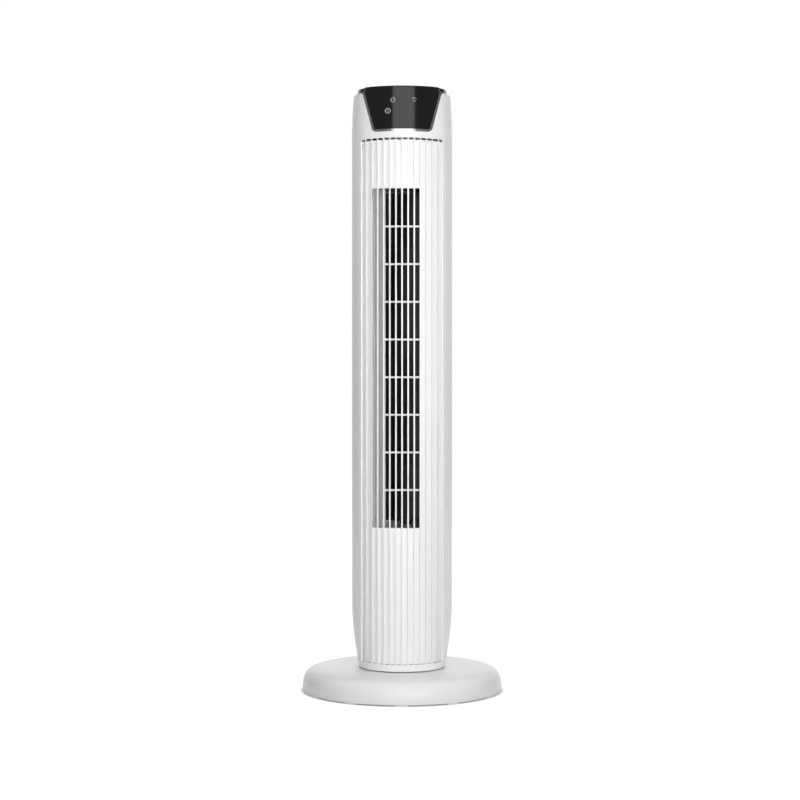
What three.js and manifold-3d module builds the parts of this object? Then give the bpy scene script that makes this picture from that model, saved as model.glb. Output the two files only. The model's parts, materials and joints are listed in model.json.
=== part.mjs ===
// Tower fan on a round base: a slim column that swings about its base, with a
// cross-flow impeller behind a ribbed front and a glossy touch panel on top.
// Millimetres, +Z up, front towards -Y, origin on the floor under the base.
import * as THREE from 'three';
import { mergeVertices } from 'three/addons/utils/BufferGeometryUtils.js';
import Module from 'manifold-3d';

const wasm = await Module();
wasm.setup();

// driving dimensions
const GAP = 0.3;                      // clearance kept between neighbours
const ROUND = 40;                     // facets round a large turned piece
const OVERALL_HEIGHT = 924;

// base
const BASE_R = 153;
const BASE_TOP = 35.4;                // height of the base's flat middle
const BASE_FLAT_R = 128;              // the top is flat out to here, then falls to the skirt
const BASE_WALL = 2.8;
const POST_BORE = 12;
const SKIRT_Z = 1.7;                  // the skirt ends above the floor
const FOOT_COUNT = 12;
const FOOT_WIDTH = 19;

// column: a round shell, drawn in at its foot and slightly at its shoulder
const COLUMN_R = 77;
const COLUMN_FOOT = 36.8;
const FOOT_CURVE_TOP = 130;
const FOOT_INSET = 11;                // how far the foot is drawn in
const SHOULDER_CURVE = 830;
const SHOULDER_Z = 910;
const SHOULDER_INSET = 2.8;
const WALL = 2.6;
const SEAM_Y = -14;                   // plane where front and rear shells meet
const LEDGE_R = 62;                   // inner edge of the shoulder ledge

// ribbed front and its outlet window
const RIB_PITCH = 9.15;
const RIB_WIDTH = 2.4;
const RIB_LAST = 6;                   // ribs run from -6 to +6
const RIB_DEPTH = 1.7;
const GRILLE_THICK = 5;
const GRILLE_HALF = 62;
const GRILLE_LOW = 47;
const GRILLE_HIGH = 838.5;
const WINDOW_LOW = 253.8;
const WINDOW_HIGH = 763.3;
const WINDOW_RIBS = [-5, 3];          // the open channels lie between these ribs

// rear intake, carrying grip and housing screws
const INTAKE_HALF = 60;
const INTAKE_LOW = 250;
const INTAKE_HIGH = 767;
const INTAKE_SLOTS = 11;
const INTAKE_BAYS = 3;
const GRIP = { half: 45, low: 832, high: 870, back: 50, wall: 2.2 };
const SCREW_X = 40;

// glossy cap
const CAP_R = 68;
const CAP_TILT = 3;                   // degrees, the top falls towards the front
const APRON = { low: 852, lowHalf: 41.5, high: 908, highHalf: 56, inset: 1.1 };
const TRIM_WIDTH = 3.7;
const TRIM_LIP = 1.2;
const TRIM_INSET = 0.4;
const TRIM_BACK = 3.2;

// impeller and its duct
const FAN_X = 6;
const FAN_Y = 8;
const FAN_R = 42;
const FAN_LOW = 262;
const FAN_HIGH = 758;
const FAN_DISCS = 7;
const FAN_BLADES = 10;
const BLADE_CHORD = 8.5;
const SHAFT_R = 4;

// decks that carry the motor below and the bearing above
const MOTOR_DECK = 236;
const TOP_DECK = 766;
const DECK_THICK = 3;
const DECK_R = 70.8;
const LOW_SCREW_Z = MOTOR_DECK - 6.2;
const HIGH_SCREW_Z = TOP_DECK + DECK_THICK + 6.2;

// swing drive: a pinion rolls round a gear that is fixed to the base
const GEAR_MODULE = 1.3;
const GEAR_TEETH = 32;
const PINION_TEETH = 14;
const GEAR_Z = 46.6;
const GEAR_THICK = 6;
const POST_R = 15;

// solids
function toSolid(geometry) {
  geometry.deleteAttribute('normal');
  geometry.deleteAttribute('uv');
  const merged = mergeVertices(geometry, 1e-4);
  const index = merged.index.array;
  const triangles = [];
  for (let i = 0; i < index.length; i += 3) {
    const [a, b, c] = [index[i], index[i + 1], index[i + 2]];
    if (a !== b && b !== c && c !== a) triangles.push(a, b, c);
  }
  return new wasm.Manifold(new wasm.Mesh({
    numProp: 3,
    vertProperties: new Float32Array(merged.attributes.position.array),
    triVerts: new Uint32Array(triangles),
  }));
}

function toGeometry(solid) {
  const mesh = solid.getMesh();
  const geometry = new THREE.BufferGeometry();
  geometry.setAttribute('position', new THREE.BufferAttribute(mesh.vertProperties, 3));
  geometry.setIndex(new THREE.BufferAttribute(mesh.triVerts, 1));
  return geometry;
}

// profile points [radius, height], counter-clockwise with the outside going up
function turned(profile, segments = ROUND, x = 0, y = 0) {
  const points = profile.map(([r, z]) => new THREE.Vector2(r, z));
  const first = points[0];
  const last = points[points.length - 1];
  if (first.x > 0 && !first.equals(last)) points.push(first.clone());
  const geometry = new THREE.LatheGeometry(points, segments);
  geometry.rotateX(Math.PI / 2);
  geometry.translate(x, y, 0);
  return toSolid(geometry);
}

function box([x0, x1], [y0, y1], [z0, z1]) {
  const geometry = new THREE.BoxGeometry(x1 - x0, y1 - y0, z1 - z0);
  geometry.translate((x0 + x1) / 2, (y0 + y1) / 2, (z0 + z1) / 2);
  return toSolid(geometry);
}

function rod(radius, z0, z1, x = 0, y = 0, segments = 16) {
  return turned([[0, z0], [radius, z0], [radius, z1], [0, z1]], segments, x, y);
}

function ring(inner, outer, z0, z1, x = 0, y = 0, segments = 32) {
  return turned([[inner, z0], [outer, z0], [outer, z1], [inner, z1]], segments, x, y);
}

// a rod that lies along Y
function rodY(radius, y0, y1, x, z, segments = 16) {
  const geometry = new THREE.CylinderGeometry(radius, radius, y1 - y0, segments);
  geometry.translate(x, (y0 + y1) / 2, z);
  return toSolid(geometry);
}

function plate(outline, z0, z1, holes = []) {
  const shape = new THREE.Shape(outline.map(([x, y]) => new THREE.Vector2(x, y)));
  for (const hole of holes) {
    shape.holes.push(new THREE.Path(hole.map(([x, y]) => new THREE.Vector2(x, y))));
  }
  const geometry = new THREE.ExtrudeGeometry(shape, { depth: z1 - z0, bevelEnabled: false });
  geometry.translate(0, 0, z0);
  return toSolid(geometry);
}

// an outline in X and Z, pushed along Y
function plateY(outline, y0, y1, holes = []) {
  return plate(outline, -y1, -y0, holes).rotate([90, 0, 0]);
}

// a wall of even thickness along a line of points, standing from z0 to z1
function wallAlong(points, thickness, z0, z1) {
  const side = (sign) => points.map((p, i) => {
    const a = points[Math.max(i - 1, 0)];
    const b = points[Math.min(i + 1, points.length - 1)];
    const length = Math.hypot(b[0] - a[0], b[1] - a[1]);
    const nx = -(b[1] - a[1]) / length;
    const ny = (b[0] - a[0]) / length;
    return [p[0] + sign * nx * thickness / 2, p[1] + sign * ny * thickness / 2];
  });
  return plate([...side(1), ...side(-1).reverse()], z0, z1);
}

const joined = (solids) => solids.reduce((a, b) => a.add(b));
const radians = (degrees) => degrees * Math.PI / 180;
const polar = (r, degrees, x = 0, y = 0) => [
  x + r * Math.cos(radians(degrees)), y + r * Math.sin(radians(degrees))];

// column outline
function columnR(z) {
  if (z < FOOT_CURVE_TOP) {
    const t = (FOOT_CURVE_TOP - z) / (FOOT_CURVE_TOP - COLUMN_FOOT);
    return COLUMN_R - FOOT_INSET * t ** 1.7;
  }
  if (z > SHOULDER_CURVE) {
    const t = (z - SHOULDER_CURVE) / (SHOULDER_Z - SHOULDER_CURVE);
    return COLUMN_R - SHOULDER_INSET * t ** 2.4;
  }
  return COLUMN_R;
}

const OUTLINE_Z = [47, 60, 75, 95, FOOT_CURVE_TOP, SHOULDER_CURVE, 858, 884];

function heights(low, high) {
  return [low, ...OUTLINE_Z.filter((z) => z > low + 1 && z < high - 1), high];
}

// a skin between two depths below the column's surface
function skin(outerInset, innerInset, low, high) {
  const outer = heights(low, high).map((z) => [columnR(z) - outerInset, z]);
  const inner = heights(low, high).map((z) => [columnR(z) - innerInset, z]).reverse();
  return turned([...outer, ...inner]);
}

function columnCore(inset, low, high) {
  const side = heights(low, high).map((z) => [columnR(z) - inset, z]);
  return turned([[0, low], ...side, [0, high]]);
}

// materials
const finish = (color, roughness, metalness = 0) => ({ color, roughness, metalness });
const WHITE = finish(0xf2f3f4, 0.42);
const BLACK_GLOSS = finish(0x060607, 0.08);
const PLATED = finish(0xb9bcc0, 0.2, 1);
const BLACK_PLASTIC = finish(0x0b0b0c, 0.5);
const STEEL = finish(0xa8abae, 0.35, 1);
const SHEET = finish(0xc9ccd0, 0.3, 1);
const COPPER = finish(0x9c4a22, 0.4, 1);
const RUBBER = finish(0x17171a, 0.85);
const BRONZE = finish(0x8c6a3a, 0.45, 1);
const ACETAL = finish(0xe9e6dc, 0.4);
const BOARD = finish(0x1d5a34, 0.5);

const fan = new THREE.Group();
const column = new THREE.Group();
fan.add(column);

function piece(group, name, solid, { color, roughness, metalness }) {
  const material = new THREE.MeshStandardMaterial({ color, roughness, metalness });
  const mesh = new THREE.Mesh(toGeometry(solid), material);
  mesh.name = name;
  group.add(mesh);
}

// a pan-head screw standing along +Z: its head from z0, its shank up to z1
function screw(x, y, z0, z1, headR = 3.2, shankR = 1.6, headHeight = 2.2) {
  return turned([
    [0, z0], [headR - 0.6, z0], [headR, z0 + 0.8], [headR, z0 + headHeight],
    [shankR, z0 + headHeight], [shankR, z1 - 1], [0, z1],
  ], 12, x, y);
}

// base
const SLIDE_Z = BASE_TOP + 3.3;
const TURNTABLE_Z = SLIDE_Z + 1.8;
const TURNTABLE_THICK = 4;
const POST_TOP = 62;
const POST_SCREW_R = 27;
const postScrewAngles = [45, 135, 225, 315];

function baseCover() {
  const outside = [
    [BASE_R, SKIRT_Z], [BASE_R, 10], [151.5, 18.8], [149.2, 24.6], [145.2, 29.6],
    [138.5, 33.4], [BASE_FLAT_R, BASE_TOP], [POST_BORE, BASE_TOP],
  ];
  const inside = [
    [POST_BORE, BASE_TOP - BASE_WALL], [126, BASE_TOP - BASE_WALL], [136.5, 30.6], [143, 26.8],
    [148.2, 18], [BASE_R - BASE_WALL, SKIRT_Z],
  ];
  const cover = turned([...outside, ...inside], ROUND);
  const holes = postScrewAngles.map((angle) => {
    const [x, y] = polar(POST_SCREW_R, angle);
    return rod(1.9, 25, 40, x, y, 12);
  });
  const inlet = rodY(6.3, 140, 160, 0, 13);
  return cover.subtract(joined([...holes, inlet]));
}

function basePlate() {
  const plateR = BASE_R - BASE_WALL - GAP - 0.2;
  const disc = ring(20, plateR, SKIRT_Z - GAP, SKIRT_Z + 2.5, 0, 0, ROUND);
  const halfAngle = FOOT_WIDTH / BASE_R / 2 * 180 / Math.PI;
  const feet = Array.from({ length: FOOT_COUNT }, (_, i) => {
    const middle = -90 + i * 360 / FOOT_COUNT;
    const steps = [-halfAngle, 0, halfAngle];
    const outer = steps.map((a) => polar(BASE_R - 0.2, middle + a));
    const inner = steps.map((a) => polar(138, middle + a)).reverse();
    return plate([...outer, ...inner], 0, SKIRT_Z);
  });
  const trimmed = joined(feet).subtract(ring(plateR, BASE_R + 5, SKIRT_Z - GAP, SKIRT_Z + 3, 0, 0, ROUND));
  return disc.add(trimmed);
}

function swivelPost() {
  const flangeLow = BASE_TOP + GAP;
  const flangeHigh = SLIDE_Z - GAP;
  const post = turned([
    [9, 30], [11.6, 30], [11.6, flangeLow], [34, flangeLow], [34, flangeHigh],
    [POST_R, flangeHigh], [POST_R, POST_TOP], [9, POST_TOP],
  ], 24);
  const holes = postScrewAngles.map((angle) => {
    const [x, y] = polar(POST_SCREW_R, angle);
    return rod(1.9, 25, SLIDE_Z + 5, x, y, 12);
  });
  return post.subtract(joined(holes));
}

// one gear tooth has an involute flank on each side
function gearOutline(teeth, backlash, turn = 0) {
  const pitchR = GEAR_MODULE * teeth / 2;
  const baseR = pitchR * Math.cos(radians(20));
  const tipR = pitchR + GEAR_MODULE * 0.95;
  const rootR = pitchR - GEAR_MODULE * 1.25;
  const roll = (r) => {
    const t = Math.sqrt(Math.max(r * r / (baseR * baseR) - 1, 0));
    return t - Math.atan(t);
  };
  const halfTooth = (Math.PI / 2 - backlash) / teeth;
  const flank = [Math.max(rootR + 0.15, baseR), tipR];
  const outline = [];
  for (let i = 0; i < teeth; i += 1) {
    const middle = i * 2 * Math.PI / teeth + turn;
    const at = (r) => halfTooth + roll(pitchR) - roll(r);
    outline.push([rootR, middle - at(flank[0])]);
    for (const r of flank) outline.push([r, middle - at(r)]);
    for (const r of [...flank].reverse()) outline.push([r, middle + at(r)]);
    outline.push([rootR, middle + at(flank[0])]);
  }
  return outline.map(([r, a]) => [r * Math.cos(a), r * Math.sin(a)]);
}

const GEAR_R = GEAR_MODULE * GEAR_TEETH / 2;
const PINION_R = GEAR_MODULE * PINION_TEETH / 2;
const DRIVE_Y = GEAR_R + PINION_R + 0.1;

const swingGear = () => plate(gearOutline(GEAR_TEETH, 0.12, Math.PI / 2), GEAR_Z, GEAR_Z + GEAR_THICK)
  .subtract(rod(POST_R + GAP, GEAR_Z - 1, GEAR_Z + GEAR_THICK + 1, 0, 0, 24));

piece(fan, 'base_cover', baseCover(), WHITE);
piece(fan, 'base_plate', basePlate(), WHITE);
piece(fan, 'swivel_post', swivelPost(), BLACK_PLASTIC);
postScrewAngles.forEach((angle, i) => {
  const [x, y] = polar(POST_SCREW_R, angle);
  piece(fan, `post_screw_${i + 1}`, screw(x, y, BASE_TOP - BASE_WALL - 2.5, SLIDE_Z - 0.5), STEEL);
});
piece(fan, 'slide_ring', ring(17, 33, SLIDE_Z, SLIDE_Z + 1.5), ACETAL);
piece(fan, 'thrust_ring', ring(POST_R + GAP, 24, TURNTABLE_Z + TURNTABLE_THICK + GAP, GEAR_Z - GAP), ACETAL);
piece(fan, 'swing_gear', swingGear(), ACETAL);
const NUT_Z = [GEAR_Z + GEAR_THICK + GAP, POST_TOP - 1];
piece(fan, 'post_nut', rod(20, ...NUT_Z, 0, 0, 6).subtract(rod(POST_R + GAP, 40, 70, 0, 0, 32)), BLACK_PLASTIC);
piece(fan, 'cord_inlet', rodY(6, 146, 152.6, 0, 13).subtract(rodY(3.6, 140, 160, 0, 13)), RUBBER);

// column shells
const shellProfile = () => {
  const outer = heights(COLUMN_FOOT, SHOULDER_Z - 1).map((z) => [columnR(z), z]);
  const inner = heights(COLUMN_FOOT, SHOULDER_Z - WALL).map((z) => [columnR(z) - WALL, z]).reverse();
  return [...outer, [columnR(SHOULDER_Z) - 1, SHOULDER_Z], [LEDGE_R, SHOULDER_Z],
    [LEDGE_R, SHOULDER_Z - WALL], ...inner];
};

// the apron's outline, or one with a margin round it: straight sides, round lower corners
function apronOutline(margin) {
  const low = APRON.low - margin;
  const slope = (APRON.highHalf - APRON.lowHalf) / (APRON.high - APRON.low);
  const halfAt = (z) => APRON.lowHalf + slope * (z - APRON.low) + margin * 1.04;
  const r = 5 + margin;
  const right = [[halfAt(low) - r, low]];
  for (const angle of [-60, -30, 0]) {
    const [dx, dz] = polar(r * 0.9, angle);
    right.push([halfAt(low) - r + dx, low + r + dz - r * 0.1]);
  }
  right.push([halfAt(APRON.high), APRON.high], [halfAt(APRON.high), APRON.high + 30]);
  return [...right, ...right.map(([x, z]) => [-x, z]).reverse()];
}

function frontFrame() {
  const half = GRILLE_HALF;
  const shell = turned(shellProfile()).intersect(box([-90, 90], [-90, SEAM_Y - GAP / 2], [0, 950]));
  const opening = box([-half, half], [-90, 0], [GRILLE_LOW, GRILLE_HIGH]);
  const notch = plateY(apronOutline(TRIM_WIDTH + GAP), -90, -28);
  return shell.subtract(opening).subtract(notch);
}

function housingScrews(visit) {
  for (const z of [LOW_SCREW_Z, HIGH_SCREW_Z]) {
    for (const x of [-SCREW_X, SCREW_X]) visit(x, z);
  }
}

function rearHousing() {
  const back = box([-90, 90], [SEAM_Y + GAP / 2, 90], [0, 950]);
  const core = columnCore(0.2, COLUMN_FOOT, SHOULDER_Z - 1);
  let shell = turned(shellProfile()).intersect(back);
  const { half, low, high, back: depth, wall } = GRIP;
  const cup = box([-half - wall, half + wall], [depth - wall, 90], [low - wall, high + wall]);
  const ribs = [-30, 30].map((x) => box([x - 1.5, x + 1.5], [40.4, 90], [92, 148]));
  const wells = [];
  const bores = [];
  housingScrews((x, z) => {
    wells.push(rodY(5.6, 58, 90, x, z));
    bores.push(rodY(3.7, 60.5, 90, x, z), rodY(1.9, 50, 70, x, z, 12));
  });
  shell = shell.add(joined([cup, ...ribs, ...wells]).intersect(core));
  const intake = box([-INTAKE_HALF, INTAKE_HALF], [0, 90], [INTAKE_LOW, INTAKE_HIGH]);
  const grip = box([-half, half], [depth, 95], [low, high]);
  return shell.subtract(joined([intake, grip, ...bores]));
}

function frontGrille() {
  const half = GRILLE_HALF - GAP;
  const low = GRILLE_LOW + GAP;
  const high = GRILLE_HIGH - GAP;
  const front = box([-half, half], [-90, 0], [0, 950]);
  const insert = skin(0.3, 0.3 + GRILLE_THICK, low, high).intersect(front);
  const channels = [];
  const window = [];
  for (let i = -RIB_LAST - 1; i <= RIB_LAST; i += 1) {
    const x0 = Math.max(i * RIB_PITCH + RIB_WIDTH / 2, -half - 1);
    const x1 = Math.min((i + 1) * RIB_PITCH - RIB_WIDTH / 2, half + 1);
    channels.push(box([x0, x1], [-90, 0], [0, 950]));
    if (i >= WINDOW_RIBS[0] && i < WINDOW_RIBS[1]) {
      window.push(box([x0, x1], [-90, -40], [WINDOW_LOW, WINDOW_HIGH]));
    }
  }
  const groove = skin(-4, RIB_DEPTH + 0.3, low - 2, high + 2).intersect(joined(channels));
  return insert.subtract(groove).subtract(joined(window));
}

function rearGrille() {
  const half = INTAKE_HALF - GAP;
  const low = INTAKE_LOW + GAP;
  const high = INTAKE_HIGH - GAP;
  const insert = skin(0.3, 3, low, high).intersect(box([-half, half], [0, 90], [0, 950]));
  const pitch = 2 * (half - 3) / INTAKE_SLOTS;
  const bay = (high - low - 8) / INTAKE_BAYS;
  const slots = [];
  for (let i = 0; i < INTAKE_SLOTS; i += 1) {
    const x = -half + 3 + (i + 0.5) * pitch;
    for (let j = 0; j < INTAKE_BAYS; j += 1) {
      const z = low + 4 + j * bay;
      slots.push(box([x - 3.4, x + 3.4], [20, 90], [z + 2, z + bay - 2]));
    }
  }
  return insert.subtract(joined(slots));
}

// a flat ladder behind the window: two rails, two ends and evenly spaced cross bars
function outletGuard() {
  const left = (WINDOW_RIBS[0] + 2) * RIB_PITCH;
  const right = WINDOW_RIBS[1] * RIB_PITCH;
  const cells = 9;
  const pitch = (WINDOW_HIGH - WINDOW_LOW) / cells;
  const bar = 3;
  const holes = Array.from({ length: cells }, (_, i) => {
    const z0 = WINDOW_LOW + i * pitch + bar / 2;
    const z1 = z0 + pitch - bar;
    const [x0, x1] = [left + 1, right - 1];
    return [[x0, z0], [x0, z1], [x1, z1], [x1, z0]];
  });
  const [x0, x1] = [left - 1.2, right + 1.2];
  const [z0, z1] = [WINDOW_LOW - 2.2, WINDOW_HIGH + 2.2];
  const outline = [[x0, z0], [x1, z0], [x1, z1], [x0, z1]];
  return plateY(outline, -64.5, -61.5, holes);
}

piece(column, 'front_frame', frontFrame(), WHITE);
piece(column, 'front_grille', frontGrille(), WHITE);
piece(column, 'rear_housing', rearHousing(), WHITE);
piece(column, 'rear_grille', rearGrille(), WHITE);
piece(column, 'outlet_guard', outletGuard(), WHITE);
housingScrews((x, z) => {
  const name = `housing_screw_${z < 500 ? 'low' : 'high'}_${x < 0 ? 'left' : 'right'}`;
  const shape = screw(0, 0, 0, 18, 3.3, 1.5, 2.6).rotate([90, 0, 0]).translate([x, 63.4, z]);
  piece(column, name, shape, STEEL);
});

// duct and decks
const DUCT_LOW = MOTOR_DECK + DECK_THICK + GAP;
const DUCT_HIGH = TOP_DECK - GAP;
const WIRE_HOLE = [-55, 35];

// the tongue is the duct's left wall: it flares from the impeller to the window
const ductTongue = () => wallAlong([[-43, -53.4], [-38, -47.5], [-31.5, -41.5], [-27, -38], [-25.2, -37.6]],
  2.2, DUCT_LOW, DUCT_HIGH);

// the scroll opens out round the impeller, from the rear to the window's right edge
function ductScroll() {
  const points = [];
  for (let angle = 70; angle >= -40; angle -= 11) {
    points.push(polar(47 + 13 * (70 - angle) / 110, angle, FAN_X, FAN_Y));
  }
  points.push([42, -46], [33, -58]);
  return wallAlong(points, 2.2, DUCT_LOW, DUCT_HIGH);
}

function screwBosses(z0, z1) {
  return [-SCREW_X, SCREW_X].map((x) => box([x - 6, x + 6], [42, 56], [z0, z1]));
}

const motorScrewSpots = [90, 210, 330].map((angle) => polar(50, angle, FAN_X, FAN_Y));

function motorDeck() {
  const z1 = MOTOR_DECK + DECK_THICK;
  const deck = joined([rod(DECK_R, MOTOR_DECK, z1, 0, 0, ROUND), ...screwBosses(z1 - 15, z1)]);
  const holes = motorScrewSpots.map(([x, y]) => rod(2.4, 200, 250, x, y, 12));
  const bores = [-SCREW_X, SCREW_X].map((x) => rodY(1.8, 44, 60, x, LOW_SCREW_Z, 12));
  holes.push(rod(7, 200, 250, FAN_X, FAN_Y), rod(6.5, 200, 250, ...WIRE_HOLE, 12), ...bores);
  return deck.subtract(joined(holes));
}

function topDeck() {
  const z1 = TOP_DECK + DECK_THICK;
  const deck = joined([rod(DECK_R, TOP_DECK, z1, 0, 0, ROUND), ...screwBosses(TOP_DECK, z1 + 12)]);
  const bores = [-SCREW_X, SCREW_X].map((x) => rodY(1.8, 44, 60, x, HIGH_SCREW_Z, 12));
  const seat = rod(13.3, 750, 790, FAN_X, FAN_Y, 24);
  return deck.subtract(joined([seat, rod(6.5, 750, 790, ...WIRE_HOLE, 12), ...bores]));
}

function turntable() {
  const z0 = TURNTABLE_Z;
  const z1 = z0 + TURNTABLE_THICK;
  const disc = ring(POST_R + GAP, 62.6, z0, z1, 0, 0, ROUND);
  const posts = [-30, 30].map((x) => rod(5, z0 + 1, 63.7, x, DRIVE_Y + 8, 16));
  const bores = [-30, 30].map((x) => rod(1.7, z1 + 4, 70, x, DRIVE_Y + 8, 12));
  return joined([disc, ...posts]).subtract(joined(bores));
}

piece(column, 'duct_tongue', ductTongue(), WHITE);
piece(column, 'duct_scroll', ductScroll(), WHITE);
piece(column, 'motor_deck', motorDeck(), BLACK_PLASTIC);
piece(column, 'top_deck', topDeck(), BLACK_PLASTIC);
piece(column, 'turntable', turntable(), BLACK_PLASTIC);

// fan motor
const at = [FAN_X, FAN_Y];
const CORE_LOW = 180;
const CORE_HIGH = 206;
const BELL_R = 42;
const BELL_WALL = 1.5;
const SHAFT_BORE = SHAFT_R + 4;

// a pressed cup: its rim meets the core, its boss holds a bushing
function bell(rim, end) {
  const up = end > rim ? 1 : -1;
  const mid = end - up * 3;
  const points = [
    [SHAFT_BORE, end], [22, end], [BELL_R, mid], [BELL_R, rim], [BELL_R - BELL_WALL, rim],
    [BELL_R - BELL_WALL, mid - up * BELL_WALL], [22, end - up * BELL_WALL],
    [SHAFT_BORE + 2, end - up * BELL_WALL], [SHAFT_BORE + 2, end - up * 8], [SHAFT_BORE, end - up * 8],
  ];
  return turned(up > 0 ? points.reverse() : points, 24, ...at);
}

function upperBell() {
  const ears = motorScrewSpots.map(([x, y]) => rod(6.5, 222.6, 224.1, x, y, 12));
  const bridge = motorScrewSpots.map(([x, y]) => {
    const inner = [FAN_X + (x - FAN_X) * 0.5, FAN_Y + (y - FAN_Y) * 0.5];
    return wallAlong([inner, [x, y]], 9, 222.6, 224.1);
  });
  const holes = motorScrewSpots.map(([x, y]) => rod(2.4, 200, 250, x, y, 12));
  const outside = rod(BELL_R - BELL_WALL - 0.5, 200, 222.4, ...at, 32);
  return bell(CORE_HIGH + GAP, 225).add(joined([...ears, ...bridge]).subtract(outside))
    .subtract(joined([...holes, rod(SHAFT_BORE, 190, 250, ...at)]));
}

piece(column, 'motor_bell_lower', bell(CORE_LOW - GAP, 162), SHEET);
piece(column, 'motor_bell_upper', upperBell(), SHEET);
piece(column, 'stator_core', ring(26, BELL_R, CORE_LOW, CORE_HIGH, ...at, 24), STEEL);
piece(column, 'winding_lower', ring(27, 38.5, CORE_LOW - 9, CORE_LOW - GAP, ...at, 24), COPPER);
piece(column, 'winding_upper', ring(27, 38.5, CORE_HIGH + GAP, CORE_HIGH + 9, ...at, 24), COPPER);
piece(column, 'bushing_lower', ring(SHAFT_R + GAP, SHAFT_BORE - GAP, 162, 170, ...at, 20), BRONZE);
piece(column, 'bushing_upper', ring(SHAFT_R + GAP, SHAFT_BORE - GAP, 217, 225, ...at, 20), BRONZE);
motorScrewSpots.forEach(([x, y], i) => {
  const profile = [[2.5, 224.4], [6, 224.4], [6, MOTOR_DECK - GAP], [2.5, MOTOR_DECK - GAP]];
  piece(column, `motor_mount_${i + 1}`, turned(profile, 16, x, y), RUBBER);
  piece(column, `motor_screw_${i + 1}`, screw(x, y, 219.9, MOTOR_DECK + 2.5, 4.5, 2, 2.4), STEEL);
});

// impeller body
const impellerBody = new THREE.Group();
column.add(impellerBody);

function impeller() {
  const thick = 1.6;
  const pitch = (FAN_HIGH - FAN_LOW) / (FAN_DISCS - 1);
  const parts = [];
  for (let i = 0; i < FAN_DISCS; i += 1) {
    const z = FAN_LOW + i * pitch;
    const end = i === 0 || i === FAN_DISCS - 1;
    parts.push(end ? rod(FAN_R, z, z + thick, ...at, 20) : ring(31.5, FAN_R, z, z + thick, ...at, 20));
  }
  for (let i = 0; i < FAN_BLADES; i += 1) {
    const blade = box([-BLADE_CHORD / 2, BLADE_CHORD / 2], [-0.7, 0.7], [FAN_LOW + 0.5, FAN_HIGH + 1]);
    const [x, y] = polar(FAN_R - 5, i * 360 / FAN_BLADES, ...at);
    parts.push(blade.rotate([0, 0, i * 360 / FAN_BLADES + 28]).translate([x, y, 0]));
  }
  const socket = rod(9, FAN_LOW - 8, FAN_LOW + 12, ...at, 20);
  const bore = rod(SHAFT_R + GAP, FAN_LOW - 10, FAN_LOW + 8, ...at, 20);
  const pinSeat = rod(3 + GAP, FAN_HIGH - 8, FAN_HIGH + 5, ...at, 16);
  const topBoss = rod(8, FAN_HIGH - 10, FAN_HIGH + thick, ...at, 20);
  return joined([...parts, socket, topBoss]).subtract(joined([bore, pinSeat]));
}

piece(impellerBody, 'impeller', impeller(), BLACK_PLASTIC);
piece(impellerBody, 'motor_shaft', rod(SHAFT_R, 156, FAN_LOW + 7.5, ...at, 20), STEEL);
piece(impellerBody, 'motor_rotor', ring(SHAFT_R + GAP, 25.4, CORE_LOW + 1, CORE_HIGH - 1, ...at, 24), STEEL);
piece(impellerBody, 'top_pin', rod(3, FAN_HIGH - 7.5, TOP_DECK + 8, ...at, 16), STEEL);

const rubberSeat = [
  [9, TOP_DECK + 0.5], [13, TOP_DECK + 0.5], [13, TOP_DECK + DECK_THICK + GAP],
  [15.5, TOP_DECK + DECK_THICK + GAP], [15.5, TOP_DECK + 5.5], [9, TOP_DECK + 5.5],
];
piece(column, 'bearing_rubber', turned(rubberSeat, 24, ...at), RUBBER);
piece(column, 'top_bearing', ring(3 + GAP, 8.7, TOP_DECK + 0.5, TOP_DECK + 5.5, ...at, 24), BRONZE);

// swing drive in the column
const pinionBody = new THREE.Group();
column.add(pinionBody);
const MOTOR_Z = 64;
const swingSpots = [-30, 30].map((x) => [x, DRIVE_Y + 8]);

function swingMotor() {
  const can = rod(25, MOTOR_Z + 1, MOTOR_Z + 17, 0, DRIVE_Y + 8, 32);
  const ears = box([-34, 34], [DRIVE_Y + 4, DRIVE_Y + 12], [MOTOR_Z, MOTOR_Z + 1.5]);
  const holes = swingSpots.map(([x, y]) => rod(1.9, MOTOR_Z - 5, MOTOR_Z + 5, x, y, 12));
  return joined([can, ears]).subtract(joined([...holes, rod(2.6, MOTOR_Z - 1, MOTOR_Z + 6, 0, DRIVE_Y)]));
}

function swingPinion() {
  const turn = Math.PI / 2 + Math.PI / PINION_TEETH;
  const teeth = plate(gearOutline(PINION_TEETH, 0.12, turn), GEAR_Z + 0.2, GEAR_Z + GEAR_THICK);
  const shaft = rod(2.3, GEAR_Z + 1, MOTOR_Z + 5, 0, 0, 16);
  return teeth.add(shaft).translate([0, DRIVE_Y, 0]);
}

piece(column, 'swing_motor', swingMotor(), SHEET);
swingSpots.forEach(([x, y], i) => {
  const shape = screw(0, 0, 0, 12, 2.9, 1.4, 1.8).rotate([180, 0, 0]).translate([x, y, MOTOR_Z + 3.6]);
  piece(column, `swing_screw_${i + 1}`, shape, STEEL);
});
piece(pinionBody, 'swing_pinion', swingPinion(), ACETAL);

// boards and wiring
function boardTray() {
  const tray = box([-36, 36], [38, 40], [92, 148]);
  const lugs = [-31, 31].flatMap((x) => [98, 142].map((z) => rodY(3, 33.9, 38.5, x, z, 12)));
  return joined([tray, ...lugs]);
}

function panelCarrier() {
  const disc = rod(59, 903.4, 905.6, 0, 0, 40);
  const arm = box([-40, 40], [-55.6, -53.6], [858, 904]);
  return disc.intersect(box([-60, 60], [-53.6, 60], [900, 910])).add(arm);
}

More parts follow.
